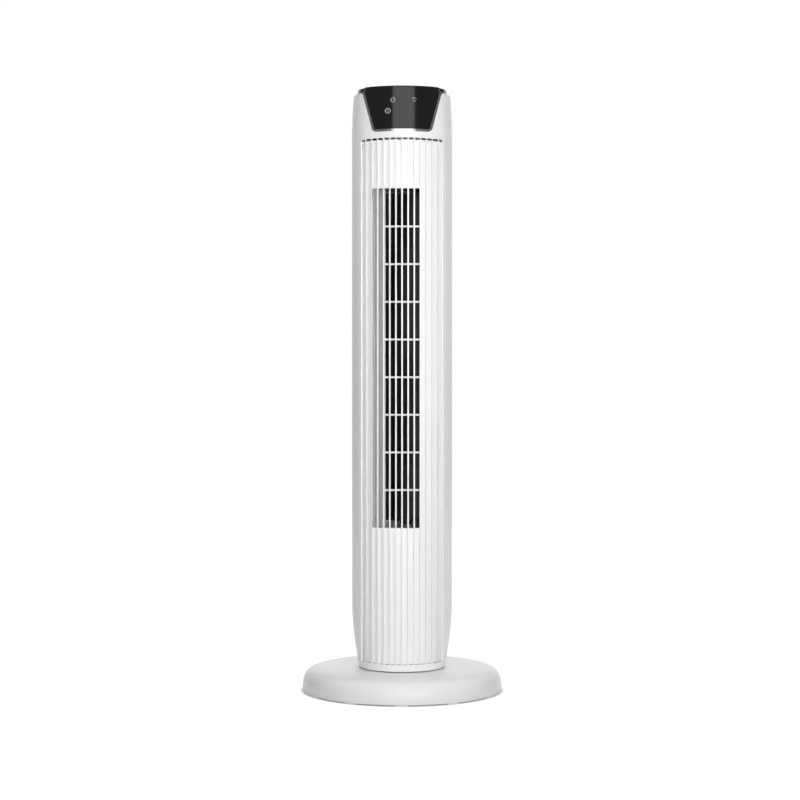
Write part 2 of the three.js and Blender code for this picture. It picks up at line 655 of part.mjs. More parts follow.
function wiring() {
  const stops = [[-20, 30.5, 152], [-40, 32, 168], [-55, 35, 192], [-55, 35, 250], [-55, 35, 500],
    [-55, 35, 740], [-55, 35, 785], [-52, 22, 815], [-44, -5, 840], [-33, -32, 858], [-28, -50.5, 866]];
  const path = new THREE.CatmullRomCurve3(stops.map((p) => new THREE.Vector3(...p)), false, 'centripetal');
  const section = new THREE.Shape().absarc(0, 0, 2.4, 0, 2 * Math.PI, false);
  const geometry = new THREE.ExtrudeGeometry(section, {
    steps: 22, curveSegments: 6, extrudePath: path, bevelEnabled: false });
  return toSolid(geometry);
}

piece(column, 'board_tray', boardTray(), WHITE);
piece(column, 'power_board', box([-36, 36], [32, 33.6], [92, 148]), BOARD);
piece(column, 'run_capacitor', box([6, 32], [20, 31.7], [98, 130]), BLACK_PLASTIC);
piece(column, 'panel_carrier', panelCarrier(), BLACK_PLASTIC);
piece(column, 'control_board', box([-37, 37], [-57.5, -55.9], [862, 900]), BOARD);
piece(column, 'led_display', box([-13, 13], [-63, -57.8], [864, 876]), BLACK_PLASTIC);
piece(column, 'ir_receiver', box([22, 29], [-60.6, -57.8], [866, 872]), BLACK_PLASTIC);
piece(column, 'wire_harness', wiring(), RUBBER);

// glossy cap
const CAP_SEAT = SHOULDER_Z + GAP;
const CAP_WALL = 2.5;
const EDGE = 3;                       // rounding of the cap's upper edge
const CAP_CENTRE_Z = OVERALL_HEIGHT - (CAP_R - EDGE) * Math.sin(radians(CAP_TILT));

// a drum whose flat top leans towards the front
function leaningDrum(radius, drop) {
  const profile = [
    [0, -30], [radius, -30], [radius, -EDGE - drop], [radius - EDGE * 0.3, -EDGE * 0.3 - drop],
    [radius - EDGE, -drop], [0, -drop],
  ];
  return turned(profile).rotate([CAP_TILT, 0, 0]).translate([0, 0, CAP_CENTRE_Z]);
}

// the cap is a hollow drum; its front swells out to the column's face and runs down as an apron
function controlPanel() {
  const above = box([-90, 90], [-90, 90], [CAP_SEAT, 950]);
  const front = plateY(apronOutline(0), -90, -30);
  const frontInside = plateY(apronOutline(-CAP_WALL), -90, -29);
  const faceR = columnR(APRON.high) - APRON.inset;
  const apron = skin(APRON.inset, APRON.inset + CAP_WALL, APRON.low, APRON.high).intersect(front);
  const face = leaningDrum(faceR, 0).intersect(front).intersect(box([-90, 90], [-90, 0], [904, 950]));
  const hollow = leaningDrum(CAP_R - CAP_WALL, CAP_WALL)
    .add(leaningDrum(faceR - CAP_WALL, CAP_WALL).intersect(frontInside));
  return joined([leaningDrum(CAP_R, 0).intersect(above), face, apron]).subtract(hollow);
}

// a plated line that rings the cap on the shoulder and dips round the apron
function panelTrim() {
  const top = CAP_SEAT + TRIM_LIP;
  const apron = plateY(apronOutline(GAP), -95, -25);
  const outline = plateY(apronOutline(TRIM_WIDTH), -90, -30);
  const dip = skin(TRIM_INSET, TRIM_BACK, APRON.low - 8, top).intersect(outline);
  const round = ring(CAP_R + 1, CAP_R + 4, CAP_SEAT, top, 0, 0, ROUND);
  return dip.add(round).subtract(apron);
}

piece(column, 'control_panel', controlPanel(), BLACK_GLOSS);
piece(column, 'panel_trim', panelTrim(), PLATED);

export default fan;
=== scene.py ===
import json
import math
import bpy
import bmesh
from mathutils import Matrix, Vector


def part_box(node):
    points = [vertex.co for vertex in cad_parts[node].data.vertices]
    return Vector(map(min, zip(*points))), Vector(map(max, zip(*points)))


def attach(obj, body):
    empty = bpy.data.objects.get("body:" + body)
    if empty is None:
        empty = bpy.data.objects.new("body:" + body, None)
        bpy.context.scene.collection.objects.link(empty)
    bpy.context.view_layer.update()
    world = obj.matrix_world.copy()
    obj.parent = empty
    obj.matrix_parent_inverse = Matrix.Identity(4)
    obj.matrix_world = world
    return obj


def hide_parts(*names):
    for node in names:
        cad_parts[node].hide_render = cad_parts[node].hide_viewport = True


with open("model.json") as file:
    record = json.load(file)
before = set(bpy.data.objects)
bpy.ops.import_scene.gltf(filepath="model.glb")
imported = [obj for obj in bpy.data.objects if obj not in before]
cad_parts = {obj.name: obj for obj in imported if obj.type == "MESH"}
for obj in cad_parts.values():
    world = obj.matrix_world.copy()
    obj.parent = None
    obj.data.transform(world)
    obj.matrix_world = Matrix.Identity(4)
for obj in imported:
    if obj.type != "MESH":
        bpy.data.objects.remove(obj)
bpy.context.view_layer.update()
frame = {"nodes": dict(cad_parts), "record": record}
print("frame loaded:", len(frame["nodes"]), "nodes")

mm = 0.001


def cadMm(node):
    # a node's lowest and highest corner, in millimetres
    low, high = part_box(node)
    return low / mm, high / mm


# camera, light and floor

cameraSet = {
    "distance": 2822,      # in front of the column's axis
    "height": 473,
    "focal": 82.58,
    "lookDown": 0.562,     # degrees
    "turn": 0.064,
}


def makeCamera():
    data = bpy.data.cameras.new("studioCamera")
    data.lens = cameraSet["focal"]
    data.sensor_width = 36
    camera = bpy.data.objects.new("studioCamera", data)
    camera.location = (0, -cameraSet["distance"] * mm, cameraSet["height"] * mm)
    camera.rotation_euler = (
        math.radians(90 - cameraSet["lookDown"]), 0, math.radians(cameraSet["turn"]))
    bpy.context.scene.collection.objects.link(camera)
    bpy.context.scene.camera = camera


lightSet = {
    "front": {"place": (0.26, -3.4, 1.35), "aim": (0.16, 0, 0.9), "size": (3.2, 2.7), "power": 50,
              "mirrored": True},
    "key": {"place": (0.5, -2.35, 0.7), "aim": (0, 0, 0.62), "size": (0.7, 0.7), "power": 3.7,
            "spread": 62},
    "left": {"place": (-1.0, -0.15, 1.05), "aim": (0, 0, 0.9), "size": (0.3, 0.7), "power": 1.7},
    "right": {"place": (1.0, -0.15, 1.05), "aim": (0, 0, 0.9), "size": (0.3, 0.7), "power": 1.0},
    "top": {"place": (0, 0.5, 2.9), "aim": (0, 0, 0), "size": (2.2, 2.2), "power": 24},
    "back": {"place": (0.3, 2.8, 1.2), "aim": (0, 0, 0.5), "size": (2.2, 2.2), "power": 42},
}


def makeLights():
    for name, values in lightSet.items():
        data = bpy.data.lights.new(name + "Light", "AREA")
        data.shape = "RECTANGLE"
        data.size, data.size_y = values["size"]
        data.energy = values["power"]
        lamp = bpy.data.objects.new(name + "Light", data)
        place = Vector(values["place"])
        aim = Vector(values["aim"]) - place
        lamp.location = place
        lamp.rotation_euler = aim.to_track_quat("-Z", "Y").to_euler()
        lamp.visible_glossy = values.get("mirrored", False)
        if "spread" in values:
            data.spread = math.radians(values["spread"])
        bpy.context.scene.collection.objects.link(lamp)


def mapRange(tree, value, fromMin, fromMax, toMin, toMax, kind="LINEAR"):
    node = tree.nodes.new("ShaderNodeMapRange")
    node.interpolation_type = kind
    for socket, number in zip(("From Min", "From Max", "To Min", "To Max"),
                              (fromMin, fromMax, toMin, toMax)):
        node.inputs[socket].default_value = number
    tree.links.new(value, node.inputs["Value"])
    return node.outputs["Result"]


def mixShaders(tree, factor, first, second):
    node = tree.nodes.new("ShaderNodeMixShader")
    for socket, output in zip(node.inputs, (factor, first, second)):
        tree.links.new(output, socket)
    return node.outputs[0]


def mathNode(tree, operation, first, second):
    node = tree.nodes.new("ShaderNodeMath")
    node.operation = operation
    tree.links.new(first, node.inputs[0])
    tree.links.new(second, node.inputs[1])
    return node.outputs[0]


# light: all round; seen: by the camera; backdrop and room: what the gloss mirrors
worldSet = {"light": 0.21, "seen": 1.0, "backdrop": 1.0, "room": 0.2}


def makeWorld():
    world = bpy.data.worlds.new("paleStudio")
    bpy.context.scene.world = world
    world.use_nodes = True
    tree = world.node_tree
    tree.nodes.clear()

    def background(strength):
        node = tree.nodes.new("ShaderNodeBackground")
        node.inputs["Color"].default_value = (1, 1, 1, 1)
        node.inputs["Strength"].default_value = strength
        return node

    # the white backdrop stands behind the object, and the rest of the room is dim
    where = tree.nodes.new("ShaderNodeTexCoord")
    axes = tree.nodes.new("ShaderNodeSeparateXYZ")
    tree.links.new(where.outputs["Generated"], axes.inputs[0])
    behind = mapRange(tree, axes.outputs["Y"], 0.62, 0.88, 0, 1, "SMOOTHSTEP")
    low = mapRange(tree, axes.outputs["Z"], 0.2, 0.42, 1, 0, "SMOOTHSTEP")
    share = mathNode(tree, "MULTIPLY", behind, low)
    mirrored = background(1)
    tree.links.new(mapRange(tree, share, 0, 1, worldSet["room"], worldSet["backdrop"], "SMOOTHSTEP"),
                   mirrored.inputs["Strength"])
    plain, seen = background(worldSet["light"]), background(worldSet["seen"])
    path = tree.nodes.new("ShaderNodeLightPath")
    out = tree.nodes.new("ShaderNodeOutputWorld")
    around = mixShaders(tree, path.outputs["Is Glossy Ray"], plain.outputs[0], mirrored.outputs[0])
    whole = mixShaders(tree, path.outputs["Is Camera Ray"], around, seen.outputs[0])
    tree.links.new(whole, out.inputs["Surface"])


# the floor glows by its distance from the middle, in metres; the glow is painted darker under and near the
# object as a painted shadow
floorSet = {"color": (0.32, 0.32, 0.32),
            "glow": [(0.0, 0.16), (0.15, 0.16), (0.158, 0.86), (0.6, 0.93), (1.4, 0.99)]}


def makeFloor():
    # a round floor whose white is seen directly; real shadows darken it, and a painted shadow darkens its
    # glow under the object
    bm = bmesh.new()
    bmesh.ops.create_circle(bm, cap_ends=True, segments=96, radius=6)
    material = bpy.data.materials.new("studioFloor")
    material.use_nodes = True
    tree = material.node_tree
    tree.nodes.clear()
    out = tree.nodes.new("ShaderNodeOutputMaterial")
    matte = tree.nodes.new("ShaderNodeBsdfDiffuse")
    matte.inputs["Color"].default_value = (*floorSet["color"], 1)
    glow = tree.nodes.new("ShaderNodeEmission")
    # painted shadow: the glow is weakest under the object, where its shadow lies, and rises slowly outwards
    where = tree.nodes.new("ShaderNodeTexCoord")
    reach = tree.nodes.new("ShaderNodeVectorMath")
    reach.operation = "LENGTH"
    share = tree.nodes.new("ShaderNodeMath")
    share.operation = "DIVIDE"
    glowRampWithPaintedShadow = tree.nodes.new("ShaderNodeValToRGB")
    steps = floorSet["glow"]
    share.inputs[1].default_value = steps[-1][0]
    for i, (distance, strength) in enumerate(steps):
        place = distance / steps[-1][0]
        if i < 2:
            stop = glowRampWithPaintedShadow.color_ramp.elements[i]
            stop.position = place
        else:
            stop = glowRampWithPaintedShadow.color_ramp.elements.new(place)
        stop.color = (strength, strength, strength, 1)
    tree.links.new(where.outputs["Object"], reach.inputs[0])
    tree.links.new(reach.outputs["Value"], share.inputs[0])
    tree.links.new(share.outputs[0], glowRampWithPaintedShadow.inputs["Fac"])
    tree.links.new(glowRampWithPaintedShadow.outputs["Color"], glow.inputs["Color"])
    path = tree.nodes.new("ShaderNodeLightPath")
    direct = mathNode(tree, "MAXIMUM", path.outputs["Is Camera Ray"], path.outputs["Is Glossy Ray"])
    addition = tree.nodes.new("ShaderNodeAddShader")
    tree.links.new(matte.outputs[0], addition.inputs[0])
    tree.links.new(glow.outputs[0], addition.inputs[1])
    above = mixShaders(tree, direct, matte.outputs[0], addition.outputs[0])
    # from below the floor is clear, so the underside shows
    side = tree.nodes.new("ShaderNodeNewGeometry")
    clear = tree.nodes.new("ShaderNodeBsdfTransparent")
    whole = mixShaders(tree, side.outputs["Backfacing"], above, clear.outputs[0])
    tree.links.new(whole, out.inputs["Surface"])
    mesh = bpy.data.meshes.new("studioFloor")
    bm.to_mesh(mesh)
    bm.free()
    mesh.materials.append(material)
    floor = bpy.data.objects.new("studioFloor", mesh)
    floor.location.z = -0.0002
    bpy.context.scene.collection.objects.link(floor)


scene = bpy.context.scene
scene.view_settings.view_transform = "Standard"
makeCamera()
makeLights()
makeWorld()
makeFloor()
print("camera, lights and floor made")


# materials

def newMaterial(name, color, roughness, metallic=0.0):
    material = bpy.data.materials.new(name)
    material.use_nodes = True
    shader = material.node_tree.nodes["Principled BSDF"]
    shader.inputs["Base Color"].default_value = (*color, 1)
    shader.inputs["Roughness"].default_value = roughness
    shader.inputs["Metallic"].default_value = metallic
    return material, material.node_tree, shader


def objectPoint(tree, stretch=(1, 1, 1)):
    where = tree.nodes.new("ShaderNodeTexCoord")
    scale = tree.nodes.new("ShaderNodeMapping")
    scale.inputs["Scale"].default_value = stretch
    tree.links.new(where.outputs["Object"], scale.inputs["Vector"])
    return scale.outputs["Vector"]


def noise(tree, vector, size, detail=3, rough=0.5):
    # size is the width of one lump in millimetres
    node = tree.nodes.new("ShaderNodeTexNoise")
    node.inputs["Scale"].default_value = 1 / (size * mm)
    node.inputs["Detail"].default_value = detail
    node.inputs["Roughness"].default_value = rough
    tree.links.new(vector, node.inputs["Vector"])
    return node.outputs["Fac"]


def spread(tree, value, low, high):
    # maps the middle of a noise onto a range
    return mapRange(tree, value, 0.3, 0.7, low, high)


def tint(tree, shader, value, colorA, colorB):
    ramp = tree.nodes.new("ShaderNodeValToRGB")
    ramp.color_ramp.elements[0].position = 0.3
    ramp.color_ramp.elements[0].color = (*colorA, 1)
    ramp.color_ramp.elements[1].position = 0.7
    ramp.color_ramp.elements[1].color = (*colorB, 1)
    tree.links.new(value, ramp.inputs["Fac"])
    tree.links.new(ramp.outputs["Color"], shader.inputs["Base Color"])


def bump(tree, shader, heights):
    # heights: (value, height in millimetres) pairs, one on top of the other
    normal = None
    for value, height in heights:
        node = tree.nodes.new("ShaderNodeBump")
        node.inputs["Strength"].default_value = 1
        node.inputs["Distance"].default_value = height * mm
        tree.links.new(value, node.inputs["Height"])
        if normal is not None:
            tree.links.new(normal, node.inputs["Normal"])
        normal = node.outputs["Normal"]
    tree.links.new(normal, shader.inputs["Normal"])


def mouldedPlastic(name, color, roughness, grain=0.35, depth=0.003, flow=0.008, shade=0.988):
    # satin moulding: fine spark grain, slow flow marks and a trace of colour drift
    material, tree, shader = newMaterial(name, color, roughness)
    point = objectPoint(tree)
    fine = noise(tree, point, grain, 2)
    slow = noise(tree, objectPoint(tree, (1, 1, 0.35)), 46, 2)
    darker = tuple(c * shade for c in color)
    tint(tree, shader, slow, darker, color)
    patchy = noise(tree, point, 28, 3)
    tree.links.new(spread(tree, patchy, roughness - 0.012, roughness + 0.012), shader.inputs["Roughness"])
    bump(tree, shader, [(slow, flow), (fine, depth)])
    return material


finishSet = {
    "whiteShell": {"color": (0.86, 0.865, 0.87), "roughness": 0.3},
    "whiteInsert": {"color": (0.87, 0.873, 0.876), "roughness": 0.3},
    # the duct walls: a darker copy of the white plastic, painted shade for the column's shadowed inside
    "whiteDuct": {"color": (0.70, 0.70, 0.71), "roughness": 0.5},
    "blackMoulded": {"color": (0.012, 0.012, 0.013), "roughness": 0.45},
    "acetal": {"color": (0.82, 0.80, 0.74), "roughness": 0.36},
}
print("material tools ready")


def glossPanel(name):
    # lacquered black: glossy with a soft haze, a slow orange-peel and a film of fine dust
    material, tree, shader = newMaterial(name, (0.006, 0.006, 0.0065), 0.1)
    point = objectPoint(tree)
    peel = noise(tree, point, 14, 2)
    dust = noise(tree, point, 0.6, 4, 0.7)
    tint(tree, shader, dust, (0.0045, 0.0045, 0.005), (0.0075, 0.0075, 0.008))
    tree.links.new(spread(tree, noise(tree, point, 22, 5), 0.13, 0.165), shader.inputs["Roughness"])
    bump(tree, shader, [(peel, 0.004)])
    return material


def brushedMetal(name, color, roughness, along=(1, 1, 0.03), grain=0.25, depth=0.003):
    material, tree, shader = newMaterial(name, color, roughness, 1.0)
    lines = noise(tree, objectPoint(tree, along), grain, 3, 0.6)
    patches = noise(tree, objectPoint(tree), 7, 4)
    darker = tuple(c * 0.86 for c in color)
    tint(tree, shader, patches, darker, color)
    tree.links.new(spread(tree, lines, roughness - 0.06, roughness + 0.08), shader.inputs["Roughness"])
    bump(tree, shader, [(lines, depth)])
    return material


def platedTrim(name):
    # thin bright plating with a soft drift in its polish
    material, tree, shader = newMaterial(name, (0.62, 0.63, 0.645), 0.2, 1.0)
    point = objectPoint(tree)
    haze = noise(tree, point, 5, 4)
    tint(tree, shader, haze, (0.56, 0.57, 0.585), (0.66, 0.67, 0.68))
    tree.links.new(spread(tree, haze, 0.16, 0.27), shader.inputs["Roughness"])
    bump(tree, shader, [(noise(tree, point, 0.4, 2), 0.002)])
    return material


def mattRubber(name):
    material, tree, shader = newMaterial(name, (0.017, 0.017, 0.018), 0.8)
    point = objectPoint(tree)
    tint(tree, shader, noise(tree, point, 6, 4), (0.013, 0.013, 0.014), (0.026, 0.026, 0.027))
    tree.links.new(spread(tree, noise(tree, point, 3, 4), 0.72, 0.88), shader.inputs["Roughness"])
    bump(tree, shader, [(noise(tree, point, 0.3, 3), 0.02)])
    return material


def woundCopper(name):
    # enamelled wire: fine turns round the coil, darker in the grooves between turns as painted shade
    material, tree, shader = newMaterial(name, (0.50, 0.17, 0.05), 0.3, 0.9)
    turns = tree.nodes.new("ShaderNodeTexWave")
    turns.bands_direction = "Z"
    turns.inputs["Scale"].default_value = 900
    turns.inputs["Distortion"].default_value = 1.5
    tree.links.new(objectPoint(tree), turns.inputs["Vector"])
    # painted shade: the colour darkens where the bump sinks between the turns
    tint(tree, shader, turns.outputs["Fac"], (0.30, 0.09, 0.03), (0.55, 0.20, 0.06))
    bump(tree, shader, [(turns.outputs["Fac"], 0.12)])
    return material


def circuitBoard(name):
    # solder mask over faint copper runs
    material, tree, shader = newMaterial(name, (0.03, 0.15, 0.06), 0.35)
    runs = tree.nodes.new("ShaderNodeTexBrick")
    runs.inputs["Scale"].default_value = 160
    runs.inputs["Mortar Size"].default_value = 0.03
    runs.inputs["Color1"].default_value = (0.02, 0.13, 0.05, 1)
    runs.inputs["Color2"].default_value = (0.025, 0.16, 0.06, 1)
    runs.inputs["Mortar"].default_value = (0.06, 0.25, 0.10, 1)
    tree.links.new(objectPoint(tree), runs.inputs["Vector"])
    tree.links.new(runs.outputs["Color"], shader.inputs["Base Color"])
    bump(tree, shader, [(runs.outputs["Fac"], 0.03)])
    return material


whiteShell = mouldedPlastic("whiteShell", **finishSet["whiteShell"])
whiteInsert = mouldedPlastic("whiteInsert", **finishSet["whiteInsert"])
whiteDuct = mouldedPlastic("whiteDuct", **finishSet["whiteDuct"], grain=0.5, depth=0.01)
blackMoulded = mouldedPlastic("blackMoulded", **finishSet["blackMoulded"], shade=0.8)
acetalPlain = mouldedPlastic("acetalPlain", **finishSet["acetal"])
blackGloss = glossPanel("blackGloss")
plated = platedTrim("platedTrim")
zincSteel = brushedMetal("zincSteel", (0.56, 0.57, 0.58), 0.37)
sheetSteel = brushedMetal("sheetSteel", (0.66, 0.67, 0.68), 0.37, (1, 1, 1), 0.8)
bronzeSinter = brushedMetal("bronzeSinter", (0.52, 0.36, 0.17), 0.45, (1, 1, 1), 0.3)
rubber = mattRubber("mattRubber")
copper = woundCopper("woundCopper")
board = circuitBoard("circuitBoard")

slotFinish = {
    "white_plastic": whiteShell, "black_gloss": blackGloss, "plated_trim": plated,
    "black_plastic": blackMoulded, "steel": zincSteel, "sheet_steel": sheetSteel,
    "copper": copper, "rubber": rubber, "bronze": bronzeSinter, "acetal": acetalPlain,
    "board": board,
}
slotOf = {entry["node"]: entry["material_slot"] for entry in frame["record"]["subparts"]}
for node, solid in frame["nodes"].items():
    # every carried-over node gets the finish of its slot
    solid.data.materials.clear()
    solid.data.materials.append(slotFinish[slotOf[node]])
# painted shade: the duct walls take a darker copy of the white plastic
for node in ("duct_tongue", "duct_scroll"):
    frame["nodes"][node].data.materials[0] = whiteDuct
print("materials made")


# mesh helpers

def finishPiece(name, bm, material, node, body, smoothAngle):
    # doubles go first, then the faces turn outwards, then the piece takes its node's place
    bmesh.ops.remove_doubles(bm, verts=bm.verts, dist=0.004)
    bmesh.ops.recalc_face_normals(bm, faces=bm.faces)
    bmesh.ops.scale(bm, vec=(mm, mm, mm), verts=bm.verts)
    mesh = bpy.data.meshes.new(name)
    bm.to_mesh(mesh)
    bm.free()
    piece = bpy.data.objects.new(name, mesh)
    bpy.context.scene.collection.objects.link(piece)
    mesh.materials.append(material)
    mesh.shade_smooth()
    mesh.set_sharp_from_angle(angle=math.radians(smoothAngle))
    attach(piece, body)
    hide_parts(node)
    return piece


def joinUp(bm, vertices, closed=False):
    # an edge from each vertex to the next
    following = vertices[1:] + (vertices[:1] if closed else [])
    return [bm.edges.new(pair) for pair in zip(vertices, following)]


def spinProfile(bm, points, steps=120, closed=False, sweep=360, start=0, x=0, y=0):
    # points are (radius, height)
    vertices = [bm.verts.new((x + r, y, z)) for r, z in points]
    edges = joinUp(bm, vertices, closed)
    if start:
        bmesh.ops.rotate(bm, verts=vertices, cent=(x, y, 0),
                         matrix=Matrix.Rotation(math.radians(start), 3, "Z"))
    full = sweep == 360
    bmesh.ops.spin(bm, geom=vertices + edges, cent=(x, y, 0), axis=(0, 0, 1), dvec=(0, 0, 0),
                   angle=math.radians(sweep), steps=steps, use_merge=full, use_duplicate=False)
    bmesh.ops.remove_doubles(bm, verts=bm.verts, dist=0.002)


def arc(x, z, radius, startAngle, endAngle, steps):
    # points of a round stretch in a profile
    turns = [math.radians(startAngle + (endAngle - startAngle) * i / steps) for i in range(steps + 1)]
    return [(x + radius * math.cos(t), z + radius * math.sin(t)) for t in turns]


def roundRim(radius, low, high, corner, steps):
    # the outer edge of a disc, rounded below and above
    return (arc(radius - corner, low + corner, corner, -90, 0, steps)
            + arc(radius - corner, high - corner, corner, 0, 90, steps))


def cutAt(bm, place, normal, faces=None):
    geom = list(bm.verts) + list(bm.edges) + list(bm.faces)
    if faces is not None:
        edges = {e for f in faces for e in f.edges}
        verts = {v for f in faces for v in f.verts}
        geom = list(verts) + list(edges) + list(faces)
    bmesh.ops.bisect_plane(bm, geom=geom, dist=0.0005, plane_co=place, plane_no=normal)


def keepFaces(bm, test):
    doomed = [f for f in bm.faces if not test(f.calc_center_median())]
    bmesh.ops.delete(bm, geom=doomed, context="FACES")


def dropFaces(bm, test):
    keepFaces(bm, lambda p: not test(p))


def insideCuts(point, cuts):
    # every cut stands upright, so only the point's x and z count
    return all((point - place).dot(out) < 0.01 for place, out in cuts)


def carve(bm, cuts, near):
    # scores the outline of the cuts into the faces that the test picks
    for place, out in cuts:
        cutAt(bm, place, out, [f for f in bm.faces if near(f.calc_center_median())])


def roundPlanes(x, z, halfWide, halfHigh, corner, turns=6):
    # a rounded rectangle, or a circle where the corner is as large as the halves
    cuts = []
    for sx, sz in ((1, 1), (-1, 1), (-1, -1), (1, -1)):
        centre = Vector((x + sx * (halfWide - corner), 0, z + sz * (halfHigh - corner)))
        for i in range(turns + 1):
            angle = math.pi / 2 * i / turns
            out = Vector((sx * math.cos(angle), 0, sz * math.sin(angle)))
            cuts.append((centre + out * corner, out))
    return cuts


def thicken(piece, thickness, offset=-1):
    layer = piece.modifiers.new("wall", "SOLIDIFY")
    layer.thickness = thickness * mm
    layer.offset = offset
    layer.use_even_offset = True


def softenEdges(piece, width, segments, angle):
    layer = piece.modifiers.new("edges", "BEVEL")
    layer.width = width * mm
    layer.segments = segments
    layer.limit_method = "ANGLE"
    layer.angle_limit = math.radians(angle)
    layer.harden_normals = True


def roundedBlock(bm, xs, ys, zs, edge):
    # a block with softened edges, its limits in millimetres
    made = bmesh.ops.create_cube(bm, size=1)["verts"]
    limits = (xs, ys, zs)
    bmesh.ops.scale(bm, vec=Vector([high - low for low, high in limits]), verts=made)
    bmesh.ops.translate(bm, vec=Vector([(low + high) / 2 for low, high in limits]), verts=made)
    edges = list({e for v in made for e in v.link_edges})
    bmesh.ops.bevel(bm, geom=edges, offset=edge, segments=2, affect="EDGES", profile=0.5, material=-1)


def turnAboutX(bm, degrees):
    turn = Matrix.Rotation(math.radians(degrees), 3, "X")
    bmesh.ops.rotate(bm, verts=bm.verts, cent=(0, 0, 0), matrix=turn)


def vertsOf(geom):
    return [g for g in geom if isinstance(g, bmesh.types.BMVert)]


def mergeInto(bm, other):
    # adds a finished bmesh to another
    lump = bpy.data.meshes.new("lump")
    other.to_mesh(lump)
    other.free()
    bm.from_mesh(lump)
    bpy.data.meshes.remove(lump)


def uprightSheet(half, low, high):
    # a flat sheet that stands at y = 0
    bm = bmesh.new()
    bmesh.ops.create_grid(bm, x_segments=1, y_segments=1, size=1)
    bmesh.ops.scale(bm, vec=(half, (high - low) / 2, 1), verts=bm.verts)
    turnAboutX(bm, 90)
    bmesh.ops.translate(bm, vec=(0, 0, (high + low) / 2), verts=bm.verts)
    return bm


# the column's outline, as the solids have it

columnSet = {
    "radius": 77, "foot": 36.8, "footTop": 130, "footInset": 11, "footPower": 1.7,
    "shoulderLow": 830, "shoulder": 910, "shoulderInset": 2.8, "shoulderPower": 2.4,
    "wall": 2.6, "ledge": 62,
}


def columnR(z):
    c = columnSet
    if z < c["footTop"]:
        t = (c["footTop"] - z) / (c["footTop"] - c["foot"])
        return c["radius"] - c["footInset"] * t ** c["footPower"]
    if z > c["shoulderLow"]:
        t = (z - c["shoulderLow"]) / (c["shoulder"] - c["shoulderLow"])
        return c["radius"] - c["shoulderInset"] * t ** c["shoulderPower"]
    return c["radius"]


def columnHeights(low, high):
    # close together where the outline curves, far apart where it is straight
    foot = [41, 46, 50, 55, 60, 66, 72, 79, 86, 94, 103, 113, 124, 130]
    shoulder = [830, 842, 853, 863, 872, 880, 888, 895, 902, 907]
    inner = [z for z in foot + [250, 400, 550, 700] + shoulder if low + 0.5 < z < high - 0.5]
    return [low] + inner + [high]


def onColumn(x, z, inset):
    # the point of the column's face, or below it by the inset, that stands at x and z
    radius = columnR(z) - inset
    return Vector((x, -math.sqrt(max(radius * radius - x * x, 0)), z))


# base: dished cover, bottom plate and its foot tabs

baseSet = {
    "radius": 153, "top": 35.4, "skirt": 1.5, "wall": 2.6, "bore": 12, "inletZ": 13, "inletR": 6.3,
    # the flat top ends in a soft crease and falls ever more steeply to the skirt
    "edgeFall": [(127.3, 35.4), (128.6, 35.3), (133, 34.75), (137, 33.95), (140.5, 32.8), (143.6, 31.2),
                 (146.2, 29), (148.5, 26), (150.3, 22.3), (151.7, 17.8), (152.6, 13), (153, 8)],
}


def pierce(bm, x, z, radius, near):
    # a round hole through both walls, whose edges a short tube joins
    cuts = roundPlanes(x, z, radius, radius, radius)
    carve(bm, cuts, near)
    dropFaces(bm, lambda p: near(p) and insideCuts(p, cuts))
    bmesh.ops.bridge_loops(bm, edges=[e for e in bm.edges if e.is_boundary])


def makeBaseCover():
    b = baseSet
    bm = bmesh.new()
    lip = arc(b["radius"] - 0.5, b["skirt"] + 0.5, 0.5, 0, -90, 3)
    outer = [(b["bore"], b["top"]), (40, b["top"]), (72, b["top"]), (100, b["top"])] + b["edgeFall"] + lip
    inner = [(r - b["wall"], z - b["wall"] * 0.5 * (r < 153)) for r, z in reversed(b["edgeFall"][6:])]
    inner += [(r - 1, z - b["wall"]) for r, z in reversed(b["edgeFall"][:5])]
    inner = [(b["radius"] - b["wall"], b["skirt"])] + inner + [(b["bore"], b["top"] - b["wall"])]
    spinProfile(bm, outer + inner, steps=180, closed=True)
    pierce(bm, 0, b["inletZ"], b["inletR"], lambda p: p.y > 135 and abs(p.x) < 14 and p.z < 26)
    finishPiece("baseCover", bm, whiteShell, "base_cover", "base", 50)


def makeInlet():
    # a rubber bush with a grooved barrel and a flared mouth
    low, high = cadMm("cord_inlet")
    length, radius = high.y - low.y, (high.x - low.x) / 2
    bm = bmesh.new()
    profile = [(3.6, 0.5), (4.1, 0), (5.4, 0), (radius, 0.7), (radius, 2), (5.3, 2.3), (5.3, 2.9),
               (radius, 3.2), (radius, 3.9), (5.3, 4.2), (5.3, 4.8)]
    profile += [(radius, 5), (radius, length - 0.7)] + arc(radius - 0.6, length - 0.6, 0.6, 0, 90, 3)
    profile += [(4.7, length), (3.9, length - 0.6), (3.6, length - 1.5)]
    spinProfile(bm, profile, steps=36, closed=True)
    turnAboutX(bm, -90)
    bmesh.ops.translate(bm, vec=(0, low.y, baseSet["inletZ"]), verts=bm.verts)
    finishPiece("inletBush", bm, rubber, "cord_inlet", "base", 40)


footSet = {"count": 12, "width": 19, "inner": 138, "outer": 152.8, "height": 1.5, "corner": 0.5,
           "plate": 149.6, "plateThick": 2.7, "plateBore": 20}


